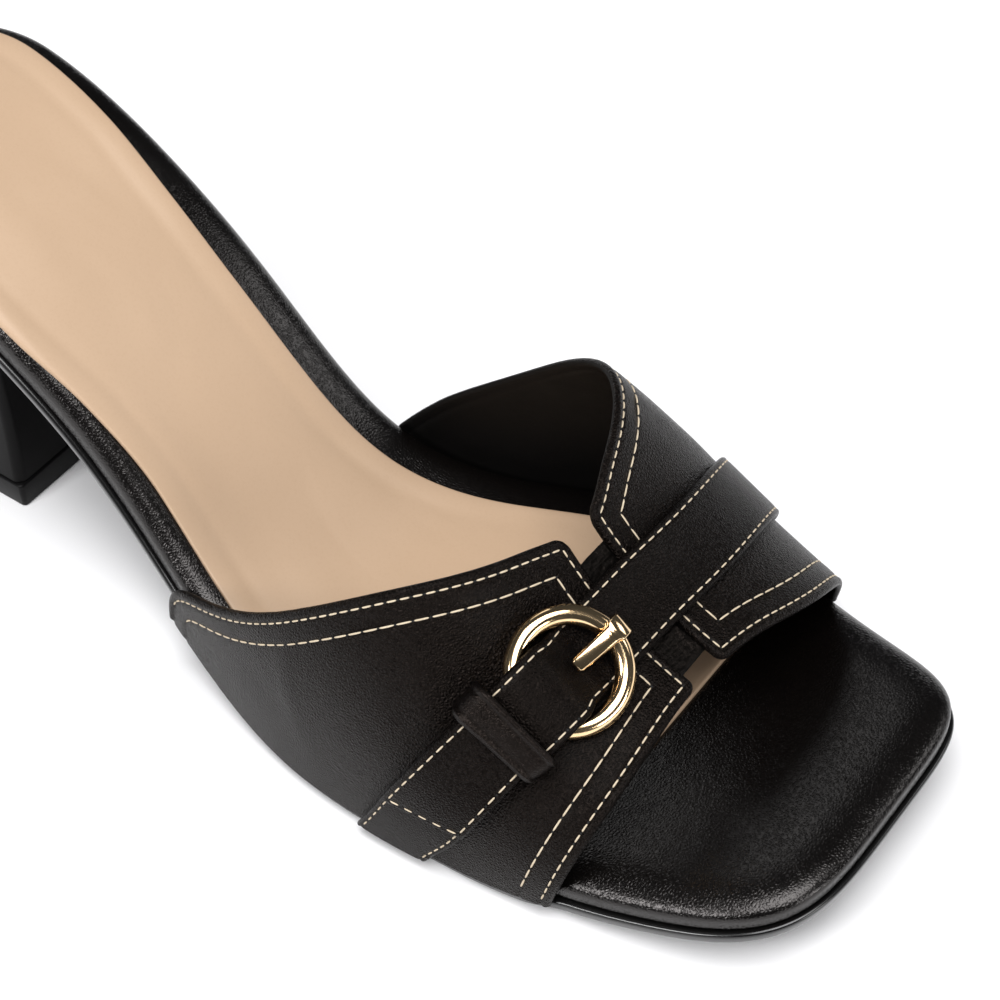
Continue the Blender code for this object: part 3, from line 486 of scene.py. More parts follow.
def closed_sheet(top, bottom):
    """Points and faces of a sheet between two grids of points, closed round its rim."""
    rows, columns = top.shape[:2]
    count = rows * columns
    faces = grid(rows, columns) + grid(rows, columns, count)
    rim = [(i * columns, (i + 1) * columns) for i in range(rows - 1)]
    rim += [(a + columns - 1, b + columns - 1) for a, b in rim]
    for j in range(columns - 1):
        last = (rows - 1) * columns + j
        rim += [(j, j + 1), (last, last + 1)]
    faces += [[a, b, b + count, a + count] for a, b in rim]
    return np.vstack([top.reshape(-1, 3), bottom.reshape(-1, 3)]), faces


def stack_rings(rings):
    """Points and faces of stacked closed rings, closed by fans at both ends."""
    count = len(rings[0])
    points = np.vstack([*rings, rings[0].mean(0)[None], rings[-1].mean(0)[None]])
    faces = grid(len(rings), count, wrap_columns=True)
    top = len(rings) * count
    for i in range(count):
        j = (i + 1) % count
        faces += [[top, i, j], [top + 1, top - count + j, top - count + i]]
    return points, faces


def rounded(distance, radius):
    """How far a rounded edge lies below the face, at a distance from the edge."""
    inside = np.clip(radius - distance, 0, radius)
    return radius - np.sqrt(np.clip(radius**2 - inside**2, 0, None))


def bump_line(distance, at, width):
    return np.exp(-(((distance - at) / width) ** 2))


# Materials


class Nodes:
    """Short names for building a material's nodes."""

    def __init__(self, name):
        self.material = bpy.data.materials.new(name)
        self.material.use_nodes = True
        self.tree = self.material.node_tree
        self.shader = self.tree.nodes["Principled BSDF"]
        self.place = self.add("ShaderNodeTexCoord").outputs["Object"]

    def put(self, socket, value):
        """Links a node's output to a socket, or sets the socket's own value."""
        if isinstance(value, bpy.types.NodeSocket):
            self.tree.links.new(value, socket)
        elif isinstance(value, tuple) and len(value) < len(socket.default_value):
            socket.default_value = (*value, 1.0)
        else:
            socket.default_value = value

    def add(self, kind, inputs=(), **settings):
        node = self.tree.nodes.new(kind)
        for key, value in settings.items():
            setattr(node, key, value)
        for key, value in dict(inputs).items():
            self.put(node.inputs[key], value)
        return node

    def scaled(self, scale):
        return self.add("ShaderNodeMapping", {"Vector": self.place, "Scale": scale}).outputs["Vector"]

    def noise(self, scale, detail=2.0, rough=0.5, distortion=0.0, vector=None):
        inputs = {"Vector": vector or self.place, "Scale": scale, "Detail": detail}
        inputs |= {"Roughness": rough, "Distortion": distortion}
        return self.add("ShaderNodeTexNoise", inputs).outputs["Fac"]

    def cells(self, scale, feature="F1", randomness=1.0, vector=None):
        inputs = {"Vector": vector or self.place, "Scale": scale, "Randomness": randomness}
        return self.add("ShaderNodeTexVoronoi", inputs, feature=feature).outputs["Distance"]

    def sum(self, a, b):
        return self.add("ShaderNodeMath", {0: a, 1: b}, operation="ADD").outputs[0]

    def times(self, a, b):
        return self.add("ShaderNodeMath", {0: a, 1: b}, operation="MULTIPLY").outputs[0]

    def ramp(self, value, low, high, from_low=0.0, from_high=1.0):
        inputs = {"Value": value, "From Min": from_low, "From Max": from_high}
        inputs |= {"To Min": low, "To Max": high}
        node = self.add("ShaderNodeMapRange", interpolation_type="SMOOTHSTEP")
        for key, item in inputs.items():
            self.put(node.inputs[key], item)
        return node.outputs["Result"]

    def mix(self, factor, a, b, blend="MIX"):
        node = self.add("ShaderNodeMix", data_type="RGBA", blend_type=blend)
        for key, item in (("Factor", factor), (6, a), (7, b)):
            self.put(node.inputs[key], item)
        return node.outputs[2]

    def bump(self, height, strength, distance, after=None):
        inputs = {"Strength": strength, "Distance": distance, "Height": height}
        if after is not None:
            inputs["Normal"] = after
        return self.add("ShaderNodeBump", inputs).outputs["Normal"]

    def finish(self, colour, roughness, normal=None, **constants):
        """Sets the shader. A constant's name has _ for each space of the socket's name."""
        inputs = {"Base Color": colour, "Roughness": roughness, **constants}
        if normal is not None:
            inputs["Normal"] = normal
        for name, value in inputs.items():
            self.put(self.shader.inputs[name.replace("_", " ")], value)
        return self.material


WARM = (1.0, 0.80, 0.70)
NEAR_WHITE = (1.0, 0.95, 0.93)


def black_leather(name, cell, depth, rough, tone, coat, shine, tint=WARM):
    """Fine pebbled leather: small soft cells with thin creases between them, and painted shade in the
    creases.
    """
    n = Nodes(name)
    offset = n.times(n.noise(900.0), cell * 0.9)
    spread = n.add("ShaderNodeCombineXYZ", {0: offset, 1: offset, 2: offset}).outputs[0]
    shifted = n.add("ShaderNodeVectorMath", {0: n.place, 1: spread}, operation="ADD").outputs[0]
    creases = n.cells(1 / cell, "DISTANCE_TO_EDGE", 0.9, shifted)
    domes = n.ramp(creases, 0.0, 1.0, 0.0, 0.42)
    pores = n.noise(2.4 / cell, 3.0, 0.6)
    fine = n.bump(n.sum(n.times(domes, 0.75), n.times(pores, 0.5)), 0.85, depth)
    soft = n.bump(n.noise(150.0), 0.25, 0.0006, fine)
    patch = n.noise(55.0, 3.0, 0.55)
    low, high = (0.95, 0.68, 0.58), (1.5, 1.15, 1.0)
    base = n.mix(patch, tuple(tone * v for v in low), tuple(tone * v for v in high))
    return n.finish(
        # Painted shade: the colour is darkened in the thin creases between the cells.
        n.mix(1.0, base, n.ramp(creases, 0.55, 1.0, 0.0, 0.12), "MULTIPLY"),
        n.ramp(patch, rough - 0.05, rough + 0.06),
        soft,
        Coat_Weight=coat,
        Coat_Roughness=0.25,
        Specular_IOR_Level=shine,
        Specular_Tint=tint,
    )


def plain(name, colour, rough, scale=400.0, depth=0.00003, **constants):
    """A nearly even surface with a faint patchy colour and bump."""
    n = Nodes(name)
    patch = n.noise(scale * 0.12)
    bump = n.bump(n.noise(scale, 3.0, 0.6), 0.4, depth)
    tint = n.mix(patch, tuple(c * 0.9 for c in colour), tuple(c * 1.1 for c in colour))
    return n.finish(tint, n.ramp(patch, rough * 0.85, rough * 1.15), bump, **constants)


def sock_material():
    """Smooth beige lining leather with faint pores and soft wrinkles, and painted shade in the pores."""
    n = Nodes("sock_beige_leather")
    patch = n.noise(28.0, 3.0)
    pores = n.cells(1500.0)
    fine = n.bump(n.sum(n.times(n.noise(2600.0), 0.5), n.times(pores, 0.4)), 0.30, 0.00004)
    broad = n.bump(n.noise(70.0, 2.0, 0.4, 0.6, n.scaled((0.35, 1.0, 1.0))), 0.30, 0.0012, fine)
    tint = n.mix(patch, (0.478, 0.327, 0.212), (0.530, 0.373, 0.250))
    # Painted shade: the colour darkens towards the middle of each pore, where the bump dips.
    pore_shade = n.mix(n.ramp(pores, 0.0, 0.12, 0.55, 0.0), tint, (0.40, 0.26, 0.16))
    constants = {"Specular_IOR_Level": 0.45, "Coat_Weight": 0.06, "Coat_Roughness": 0.4}
    return n.finish(pore_shade, n.ramp(patch, 0.44, 0.56), broad, **constants)


def thread_material():
    """Twisted cream thread."""
    n = Nodes("stitch_thread")
    twist = n.add(
        "ShaderNodeTexWave",
        {"Vector": n.place, "Scale": 900.0, "Distortion": 1.0},
        wave_type="BANDS",
        bands_direction="DIAGONAL",
    )
    tint = n.mix(n.noise(700.0), (0.50, 0.40, 0.28), (0.74, 0.63, 0.47))
    return n.finish(tint, 0.72, n.bump(twist.outputs["Fac"], 0.5, 0.00006))


def gore_material():
    """Dark elastic with a crinkled, slightly shiny face, with painted shade in its sunken folds."""
    n = Nodes("gore_elastic")
    crinkle = n.cells(1150.0, "F1", 1.0, n.scaled((1.5, 0.7, 1.0)))
    folds = n.noise(1400.0, 3.0, 0.6, 0.8)
    # Painted shade: the fold noise that raises the bump also lightens the colour, so the sunken folds are
    # darker.
    tint = n.mix(folds, (0.0018, 0.0016, 0.0015), (0.005, 0.0045, 0.004))
    bump = n.bump(n.sum(crinkle, folds), 0.8, 0.00020)
    return n.finish(tint, 0.34, bump, Specular_IOR_Level=0.1, Specular_Tint=WARM)


def gold_material():
    """Polished pale gold plating with faint scratches."""
    n = Nodes("pale_gold")
    patch = n.noise(120.0, 3.0)
    scratch = n.noise(900.0, 3.0, 0.7, 0.2, n.scaled((1.0, 0.15, 1.0)))
    tint = n.mix(patch, (0.90, 0.62, 0.33), (0.95, 0.71, 0.43))
    return n.finish(tint, n.ramp(patch, 0.09, 0.16), n.bump(scratch, 0.12, 0.00002), Metallic=1.0)


LEATHER = black_leather("vamp_black_leather", 0.00056, 0.00025, 0.28, 0.0018, 0.02, 0.11)
STRAP_LEATHER = black_leather("strap_black_leather", 0.00054, 0.00018, 0.28, 0.0016, 0.02, 0.09)
RIM_LEATHER = black_leather(
    "footbed_black_leather", 0.00056, 0.00005, 0.22, 0.0020, 0.05, 0.45, NEAR_WHITE
)
LINING = plain("black_lining", (0.0038, 0.0033, 0.0031), 0.50, 1800.0, 0.00005, Specular_IOR_Level=0.12)
KEEPER_LEATHER = black_leather("keeper_black_leather", 0.00050, 0.00010, 0.33, 0.0018, 0.02, 0.18)
SOCK = sock_material()
THREAD = thread_material()
# Near-black for the caps at the needle holes: painted shade inside the holes.
HOLE_SHADE = plain("needle_hole_painted_shade", (0.002, 0.002, 0.002), 0.8)
GORE = gore_material()
GOLD = gold_material()
OUTSOLE_BLACK = plain(
    "outsole_edge_black", (0.004, 0.0038, 0.0038), 0.26, 300.0, 0.00004, Coat_Weight=0.3,
    Coat_Roughness=0.15,
)
HEEL_BLACK = plain(
    "heel_satin_black", (0.0028, 0.0025, 0.0026), 0.33, 900.0, Specular_IOR_Level=0.09
)
LIFT_BLACK = plain(
    "top_lift_black", (0.003, 0.0028, 0.003), 0.38, 700.0, 0.00005, Specular_IOR_Level=0.14
)


# Sole

# The rim's rings, as shares of its width from the edge
RIM_SHARES = (0.0, 0.006, 0.02, 0.045, 0.08, 0.125, 0.18, 0.25, 0.33, 0.42, 0.53, 0.66, 0.82, 1.0)
# Soft ridges (+) and troughs (-) of the sock: place, half length and width, rise, turn
SOCK_CREASES = (
    (46.0, -10.0, 30.0, 5.0, 0.40, -4.0),
    (58.0, 9.0, 24.0, 6.0, -0.36, 6.0),
    (84.0, -12.0, 20.0, 4.5, -0.28, -8.0),
    (104.0, 4.0, 22.0, 5.0, 0.24, 10.0),
    (122.0, -18.0, 14.0, 4.0, 0.24, -25.0),
)


def cross_fill(lateral, medial, columns):
    """Plan points of rows that run from the lateral to the medial edge."""
    t = ((1 - np.cos(np.linspace(0, np.pi, columns + 1))) / 2)[None, :, None]
    return (lateral[:, None] * (1 - t) + medial[:, None] * t).reshape(-1, 2)


def build_footbed():
    """Padded footbed: a rolled rim round a calm upper face. It is open underneath."""
    rim = edge_measure(read_rim, *OUTLINE.T)[:, None]
    low = BED - 0.1
    rings = [level_ring(OUTLINE - OUTLINE_OUT * 4.0, low)]
    for turn in np.linspace(0, np.pi / 2, 7):
        plan = OUTLINE - OUTLINE_OUT * RIM_UNDER * (1 - math.sin(turn))
        rings.append(level_ring(plan, low + RIM_UNDER * (1 - math.cos(turn))))
    for share in RIM_SHARES:
        rings.append(level_ring(OUTLINE - OUTLINE_OUT * rim * share, TOP - rim_fall(share)))
    count, half, columns = len(OUTLINE), len(LATERAL), 30
    lateral = np.arange(half)
    medial = (count - lateral) % count
    inner = rings[-1][:, :2]
    crown = cross_fill(inner[lateral], inner[medial], columns)
    points = np.vstack([*rings, level_ring(crown, TOP)])
    faces = grid(len(rings), count, wrap_columns=True)
    # The crown's end rows and end columns are points of the innermost ring
    base = (len(rings) - 1) * count
    index = len(rings) * count + np.arange(len(crown)).reshape(half, -1)
    index[:, -1] = base + medial
    index[:, 0] = base + lateral
    index[0] = base
    index[-1] = base + half - 1
    for k in range(half - 1):
        for j in range(columns):
            quad = [index[k, j], index[k + 1, j], index[k + 1, j + 1], index[k, j + 1]]
            kept = [v for n, v in enumerate(quad) if v != quad[n - 1]]
            if len(kept) > 2:
                faces.append(kept)
    make("footbed_padded", points, faces, [RIM_LEATHER], "footbed", "footbed_leather", 80)


def sock_rows():
    """The sock's edge points, in pairs of the lateral and the medial one."""
    bend = SOCK_FRONT * LENGTH - SOCK_CORNER
    edge = OUTLINE - OUTLINE_OUT * edge_measure(read_inset, *OUTLINE.T)[:, None]
    half = np.arange(len(LATERAL))
    lateral, medial = edge[half], edge[-half]
    keep = (lateral[:, 0] < bend) & (medial[:, 0] < bend)
    turns = np.linspace(0, np.pi / 2, 24)[1:]
    x = bend + SOCK_CORNER * np.sin(turns)
    inward = SOCK_CORNER * (1 - np.cos(turns))
    return [
        np.vstack([line[keep], np.column_stack([x, line[keep][-1, 1] + way * inward])])
        for line, way in ((lateral, 1), (medial, -1))
    ]


def turned(ahead, aside, degrees):
    """Distances along and across a direction."""
    turn = math.radians(degrees)
    cos, sin = math.cos(turn), math.sin(turn)
    return ahead * cos + aside * sin, aside * cos - ahead * sin


def build_sock():
    """Sock with a pressed border line, soft creases and a skirt. It is open underneath."""
    lateral, medial = sock_rows()
    flat = cross_fill(lateral, medial, 44)
    away, _ = line_distance(flat, np.vstack([lateral, medial[::-1]]))
    height = top_surface(flat, SOCK_T) - rounded(away, 0.4) + 0.06 * bump_line(away, 1.3, 0.8)
    border = ease((150 - flat[:, 0]) / 50)
    height += border * (0.14 * bump_line(away, 2.6, 1.4) - 0.16 * bump_line(away, 5.2, 1.1))
    for x, y, length, width, rise, direction in SOCK_CREASES:
        along, across = turned(flat[:, 0] - x, flat[:, 1] - y, direction)
        height += rise * np.exp(-((along / length) ** 2) - (across / width) ** 2) * ease(away / 4)
    points = np.column_stack([flat, height])
    n, width = len(lateral), 45
    faces = grid(n, width)
    loop = [k * width for k in range(n)]
    loop += [(n - 1) * width + j for j in range(1, width)]
    loop += [(k + 1) * width - 1 for k in range(n - 2, 0, -1)]
    base = len(points)
    points = np.vstack([points, points[loop] - (0, 0, SOCK_T - 0.25)])
    for a in range(len(loop)):
        b = (a + 1) % len(loop)
        faces.append([loop[b], loop[a], base + a, base + b])
    make("sock_beige", points, faces, [SOCK], "insole_sock", "sock_leather", 80)


def build_outsole():
    """Outsole with soft edges, a little wider under the vamp. Its middle is open on top."""
    grow = np.full(len(OUTLINE), WELT)
    for i, (x, y) in enumerate(OUTLINE):
        side = -1 if y < 0 else 1
        start, end = throat_x(90.0 * side), toe_x(90.0 * side)
        under = ease((x - start + 1) / 8) * ease((end + 2 - x) / 8)
        grow[i] += (vamp_offset(x, side) - 2 * GAP - WELT) * under
    edge = OUTLINE + OUTLINE_OUT * grow[:, None]
    x = np.clip(OUTLINE[:, 0], HEEL_END, LENGTH - TOE_CORNER)
    middle = np.column_stack([x, (half_width(x, 1) - half_width(x, -1)) / 2])
    r = 0.7
    turns = np.linspace(0, np.pi / 2, 7)
    rings = [level_ring(edge - OUTLINE_OUT * inset, OUTSOLE) for inset in (9.0, 4.0, 2.0)]
    for turn in turns:
        plan = edge - OUTLINE_OUT * r * (1 - math.sin(turn))
        rings.append(level_ring(plan, OUTSOLE - r * (1 - math.cos(turn))))
    for turn in turns[::-1]:
        plan = edge - OUTLINE_OUT * (r * (1 - math.sin(turn)) + 0.25)
        rings.append(level_ring(plan, r * (1 - math.cos(turn))))
    for share in (0.3, 0.6, 0.999):
        rings.append(level_ring(edge * (1 - share) + middle * share, 0.0))
    faces = grid(len(rings), len(edge), wrap_columns=True)
    make("outsole_edged", np.vstack(rings), faces, [OUTSOLE_BLACK], "outsole", "outsole_rubber")


def heel_plan(share, grow=0.0, r=2.0):
    """The heel's outline at a share of its height, with breast corners of radius r."""
    back, front, half = (smooth(HEEL, k)(share) for k in (1, 2, 3))
    back = HEEL_FRONT * back - grow
    front = HEEL_FRONT * front + grow
    half = HEEL_HALF * half + grow
    across, along = corner(np.linspace(np.pi / 2, 0, 30), HEEL_FULLNESS)
    points = list(zip(back + HEEL_END * 0.85 * (1 - along), -half * across))
    points += [(x, -half) for x in np.linspace(points[-1][0], front - r, 12)[1:]]
    for turn in np.linspace(0, np.pi / 2, 9)[1:]:
        points.append((front - r + r * math.sin(turn), -half + r * (1 - math.cos(turn))))
    points += [(front, -half * t) for t in (0.6, 0.3)]
    points[0] = (back, 0.0)
    lateral = np.array(points)
    return np.vstack([lateral, [(front, 0.0)], lateral[:0:-1] * (1, -1)])


# Height and growth of the top-lift's rings
LIFT_RINGS = (
    (LIFT_T - 0.05, -1.2),
    (LIFT_T - 0.05, 0.1),
    (LIFT_T - 0.15, 0.32),
    (LIFT_T - 0.5, 0.4),
    (0.5, 0.45),
    (0.15, 0.35),
    (0.0, 0.1),
    (0.0, -4.0),
)


def build_heel():
    """Heel block under the seat, and the top-lift with a seam line between the two."""
    floor_z = LIFT_T + 0.15
    seat_z = level(heel_plan(1.0)[:, 0], -0.05)
    rings = [
        np.column_stack([heel_plan(share), floor_z + (seat_z - floor_z) * share])
        for share in np.linspace(1, 0, 40)
    ]
    base = heel_plan(0.0)
    for inset, height in ((0.25, floor_z - 0.05), (0.7, floor_z - 0.1)):
        plan = base + (np.array([30.0, 0.0]) - base) * inset / 22
        rings.append(np.column_stack([plan, np.full(len(plan), height)]))
    make("heel_block", *stack_rings(rings), [HEEL_BLACK], "heel", "heel_cover")
    rings = []
    for height, grow in LIFT_RINGS:
        plan = heel_plan(0.0, grow, 0.9)
        rings.append(np.column_stack([plan, np.full(len(plan), height)]))
    make("heel_lift", *stack_rings(rings), [LIFT_BLACK], "heel_top_lift", "top_lift_rubber")


# Stitching

STITCHES = []
HOLES = []
ROUND = np.linspace(0, 2 * np.pi, 8, endpoint=False)


def circle(first, second):
    return np.outer(np.cos(ROUND), first) + np.outer(np.sin(ROUND), second)


def stitch_row(path, normals, pitch, length, width=0.16):
    """Adds a row of stitches along a path: each a plump spindle that dives in at both ends."""
    run = run_along(path)
    count = max(1, int(run[-1] / pitch))
    pitch = run[-1] / count

    def at(distance):
        distance = np.clip(distance, 0, run[-1])
        p = np.array([np.interp(distance, run, path[:, k]) for k in range(3)])
        n = np.array([np.interp(distance, run, normals[:, k]) for k in range(3)])
        return p, unit(n)

    for k in range(count):
        rings = []
        for share in np.linspace(-0.5, 0.5, 9):
            place = (k + 0.5) * pitch + share * length
            point, up = at(place)
            side = np.cross(unit(at(place + 0.2)[0] - at(place - 0.2)[0]), up)
            bulge = (1 - (2 * abs(share)) ** 3.0) ** 0.5
            radius = width * (0.45 + 0.55 * bulge)
            rings.append(point + up * (width * 0.75 * bulge - 0.12) + circle(side, up * 0.9) * radius)
        STITCHES.append(rings)
        HOLES.append(at(k * pitch))


def build_stitches():
    """One piece of all stitches, and one of dark caps between them: painted shade in the needle holes."""
    points, faces = [], []
    rows, columns = len(STITCHES[0]), len(ROUND)
    for number, rings in enumerate(STITCHES):
        base = number * rows * columns
        end = base + (rows - 1) * columns
        points += rings
        faces += grid(rows, columns, base, wrap_columns=True)
        faces += [range(base, base + columns), range(end, end + columns)]
    make("stitching", np.vstack(points), faces, [THREAD], None, "vamp_leather")
    # Dark caps at the needle holes: painted shade standing for the depth of each hole.
    points, faces = [], []
    for number, (point, up) in enumerate(HOLES):
        base = number * (2 * columns + 1)
        side = unit(np.cross(up, (0.3, 0.9, 0.2)))
        ring = circle(side, np.cross(up, side)) * 0.24
        points += [point + ring - up * 0.25, point + ring * 0.75 + up * 0.03, [point + up * 0.05]]
        faces += grid(2, columns, base, wrap_columns=True)
        upper = base + columns
        faces += [[upper + 8, upper + i, upper + (i + 1) % 8] for i in range(columns)]
    make("needle_hole_shade_caps", np.vstack(points), faces, [HOLE_SHADE], None, "vamp_leather")


# Upper

# Soft ridges (+) and troughs (-): side, station, angle, half length, half width, rise,
# and direction in degrees from the foot's long axis
CREASES = (
    (-1, 159.0, -50.0, 8.0, 2.6, 0.28, 65.0),
    (-1, 146.0, -40.0, 12.0, 3.0, -0.22, 20.0),
    (-1, 133.0, -62.0, 10.0, 2.6, 0.16, 80.0),
    (-1, 184.0, -46.0, 5.0, 1.8, -0.20, 75.0),
    (-1, 186.5, -58.0, 5.0, 1.6, 0.16, 80.0),
    (1, 155.0, 30.0, 9.0, 2.4, -0.18, 60.0),
    (1, 160.0, 52.0, 9.0, 2.8, 0.18, 70.0),
    (1, 186.0, 34.0, 5.0, 1.8, -0.16, 70.0),
)
# Distances of the panel grid's fine rows and columns from its edges
FINE = (0.0, 0.04, 0.12, 0.24, 0.4, 0.58, 0.8, 1.05, 1.3, 1.5, 1.7, 1.9, 2.15, 2.5, 3.0, 3.6, 4.2)
FINE = np.array(FINE + (4.7, 5.1, 5.3, 5.5, 5.7, 5.95, 6.4, 7.0))
OUTER_ROW = 1.7
INNER_ROW = 5.5


def panel_height(distance):
    """Height of the stitched leather over the plain surface, by distance from the edge."""
    return (
        0.10 * bump_line(distance, 0.9, 0.55)
        + 0.05 * np.clip(1 - ((distance - 3.6) / 1.9) ** 2, 0, 1)
        - 0.20 * bump_line(distance, OUTER_ROW, 0.32)
        - 0.13 * bump_line(distance, INNER_ROW, 0.34)
        - rounded(distance, WALL / 2)
    )


def crease_height(x, angle, side):
    """Rise of the hand-placed creases over the plain vamp."""
    rise = np.zeros_like(x)
    for where, at_x, at_angle, length, width, height, direction in CREASES:
        if where == side:
            around = np.radians(angle - at_angle) * 42.0
            along, across = turned(x - at_x, around * side, direction)
            across = across + along**2 * 0.012
            rise += height * np.exp(-((along / length) ** 2) - (across / width) ** 2)
    return rise


def panel_place(a, b, side, from_toe):
    """Station and angle at distance a from the throat's or toe's edge and b from the slit."""
    share = np.zeros_like(a) + (1.0 if from_toe else 0.0)
    angle = slit_angle(1.0 if from_toe else 0.0, side)
    for _ in range(3):
        x = station(angle, share)
        core = np.stack([x, RIDGE_Y + 0 * x, level(x, BED)], -1)
        radius = np.linalg.norm(vamp(x, angle) - core, axis=-1)
        angle = slit_angle(share, side) + side * np.degrees(b / radius)
        share = a / panel_length(angle)
        share = 1 - share if from_toe else share
    return station(angle, share), angle


def round_corner(a, b, radius):
    """Moves points near a corner so that its two edges meet in an arc."""
    u = np.clip(1 - a / radius, 0, 1)
    v = np.clip(1 - b / radius, 0, 1)
    both = (a < radius) & (b < radius)
    new_u = u * np.sqrt(1 - v**2 / 2)
    new_v = v * np.sqrt(1 - u**2 / 2)
    return np.where(both, radius * (1 - new_u), a), np.where(both, radius * (1 - new_v), b)


def panel_grid(side):
    """Stations and angles of a panel's grid, rows from throat to toe, columns from the slit."""
    far = np.linspace(0, 1, 72)[1:]
    count = len(FINE)
    ends = []
    for from_toe in (False, True):
        a, b = round_corner(*np.meshgrid(FINE, FINE, indexing="ij"), 1.9)
        near_x, near_angle = panel_place(a, b, side, from_toe)
        start = panel_place(FINE, np.full(count, FINE[-1]), side, from_toe)[1][:, None]
        far_angle = start + (side * 90 - start) * far
        share = FINE[:, None] / panel_length(far_angle)
        far_x = station(far_angle, 1 - share if from_toe else share)
        ends.append(np.array([np.hstack([near_x, far_x]), np.hstack([near_angle, far_angle])]))
    t = (np.arange(1, 71) / 71)[:, None]
    top, low = ends[0][:, -1:], ends[1][:, -1:]
    x, angle = np.concatenate([ends[0], top * (1 - t) + low * t, ends[1][:, ::-1]], axis=1)
    middle = (slice(count, -count), slice(count))
    start = throat_x(angle[middle])
    share = (x[middle] - start) / (toe_x(angle[middle]) - start)
    radius = vamp(x[middle], angle[middle])[..., 2] - level(x[middle], BED)
    angle[middle] = slit_angle(share, side) + side * np.degrees(FINE / radius)
    return x, angle


def build_panel(side, name):
    """One half of the vamp: leather outside and on its cut edges, lining inside."""
    x, angle = panel_grid(side)
    base = vamp(x, angle)
    normal = vamp_normal(x, angle)
    line = even(np.vstack([base[0, ::-1], base[:, 0], base[-1]]), 0.12)
    tree = KDTree(len(line))
    for i, p in enumerate(line):
        tree.insert(p, i)
    tree.balance()
    distance = np.array([tree.find(p)[2] for p in base.reshape(-1, 3)]).reshape(x.shape)
    distance[0] = distance[-1] = distance[:, 0] = 0.0
    up = panel_height(distance) + crease_height(x, angle, side) * ease(distance / 4.0)
    lining_step = 0.12 / (1 + np.exp(-(distance - 2.6) / 0.12))
    seam = 0.10 * bump_line(distance, 2.0, 0.2)
    down = WALL - rounded(distance, WALL / 2) + lining_step - seam
    outer = base + normal * up[..., None]
    inner = base - normal * down[..., None]
    for sheet in (outer, inner):
        sheet[:, -1, 2] -= 0.25
    points, faces = closed_sheet(outer, inner)
    quads = (x.shape[0] - 1) * (x.shape[1] - 1)
    indices = [0] * quads + [1] * quads + [0] * (len(faces) - 2 * quads)
    make(name, points, faces, [LEATHER, LINING], "upper", "vamp_leather", 60, indices)


def offset_edge(x, angle, distance, side, steps=6):
    """The line at a distance inside an edge line that is given by stations and angles."""
    tangent = unit(np.gradient(vamp(x, angle), axis=0))
    step = np.cross(vamp_normal(x, angle), tangent) * side * distance / steps
    for _ in range(steps):
        mx, ma, _ = vamp_move(x, angle, step)
        x, angle = x + mx, angle + ma
    return x, angle


def crossing(first, second):
    """The place in each of two lines where they come closest to one another."""
    gaps = np.linalg.norm(first[:, None] - second[None], axis=-1)
    return np.unravel_index(gaps.argmin(), gaps.shape)


def panel_stitches(side):
    """Two rows round a panel's throat, slit and toe edges, cut where they cross."""
    throat = np.linspace(side * 81, slit_angle(0.0, side) - side * 6, 160)
    shares = np.linspace(-0.12, 1.12, 120)
    toe = np.linspace(slit_angle(1.0, side) - side * 8, side * 89.5, 160)
    edges = ((throat_x(throat), throat), (station(0.0, shares), slit_angle(shares, side)), (toe_x(toe), toe))
    for row, pitch, length, depth in ((OUTER_ROW, 2.05, 1.58, 0.12), (INNER_ROW, 2.8, 2.45, 0.06)):
        lines = [offset_edge(*edge, row, side) for edge in edges]
        first, second, third = (vamp(*line) for line in lines)
        i, j = crossing(first, second)
        k, m = crossing(second[j:], third)
        for (x, angle), kept in zip(lines, (slice(i + 1), slice(j, j + k + 1), slice(m, None))):
            x, angle = x[kept], angle[kept]
            normals = vamp_normal(x, angle)
            stitch_row(vamp(x, angle) - normals * depth, normals, pitch, length, 0.165)


def build_gore():
    """The elastic piece in the slit, a little below the panels, with softly rolled ends."""
    notch = 0.125
    shares = np.linspace(notch, 1 - notch, 60)
    share, way = np.meshgrid(shares, np.linspace(-1, 1, 25), indexing="ij")
    left, right = slit_angle(share, -1), slit_angle(share, 1)
    angle = (left + right) / 2 + (right - left) / 2 * way * 1.45
    x = station(0.0, share)
    base = vamp(x, angle)
    normal = vamp_normal(x, angle)
    run = (share - notch) / (1 - 2 * notch)
    drop = rounded(np.minimum(run, 1 - run) * 26, 0.5)
    ripple = 0.10 * np.sin(share * 150 + 1.5 * np.sin(way * 5)) * np.exp(-(way**4) * 2)
    sag = 0.35 * (1 - way**2)
    top = base - normal * (0.95 + drop + sag - ripple)[..., None]
    bottom = base - normal * (1.95 - drop + sag)[..., None]
    make("gore_elastic", *closed_sheet(top, bottom), [GORE], None, "vamp_leather", 70)


# Strap and buckle


def underside(along):
    """Height of the upper strap layer's underside over the vamp."""
    return WIRE * read_lift(np.clip(np.asarray(along, float) / RING_R, -6, 6))


def walk(x, angle, direction, distance, steps=6):
    """Walks straight over the vamp from places, and returns the stations and angles at the end."""
    for _ in range(steps):
        mx, ma, move = vamp_move(x, angle, direction)
        size = np.linalg.norm(move, axis=-1)
        direction = move / size[..., None]
        x = x + mx / size * distance / steps
        angle = angle + ma / size * distance / steps
    return x, angle


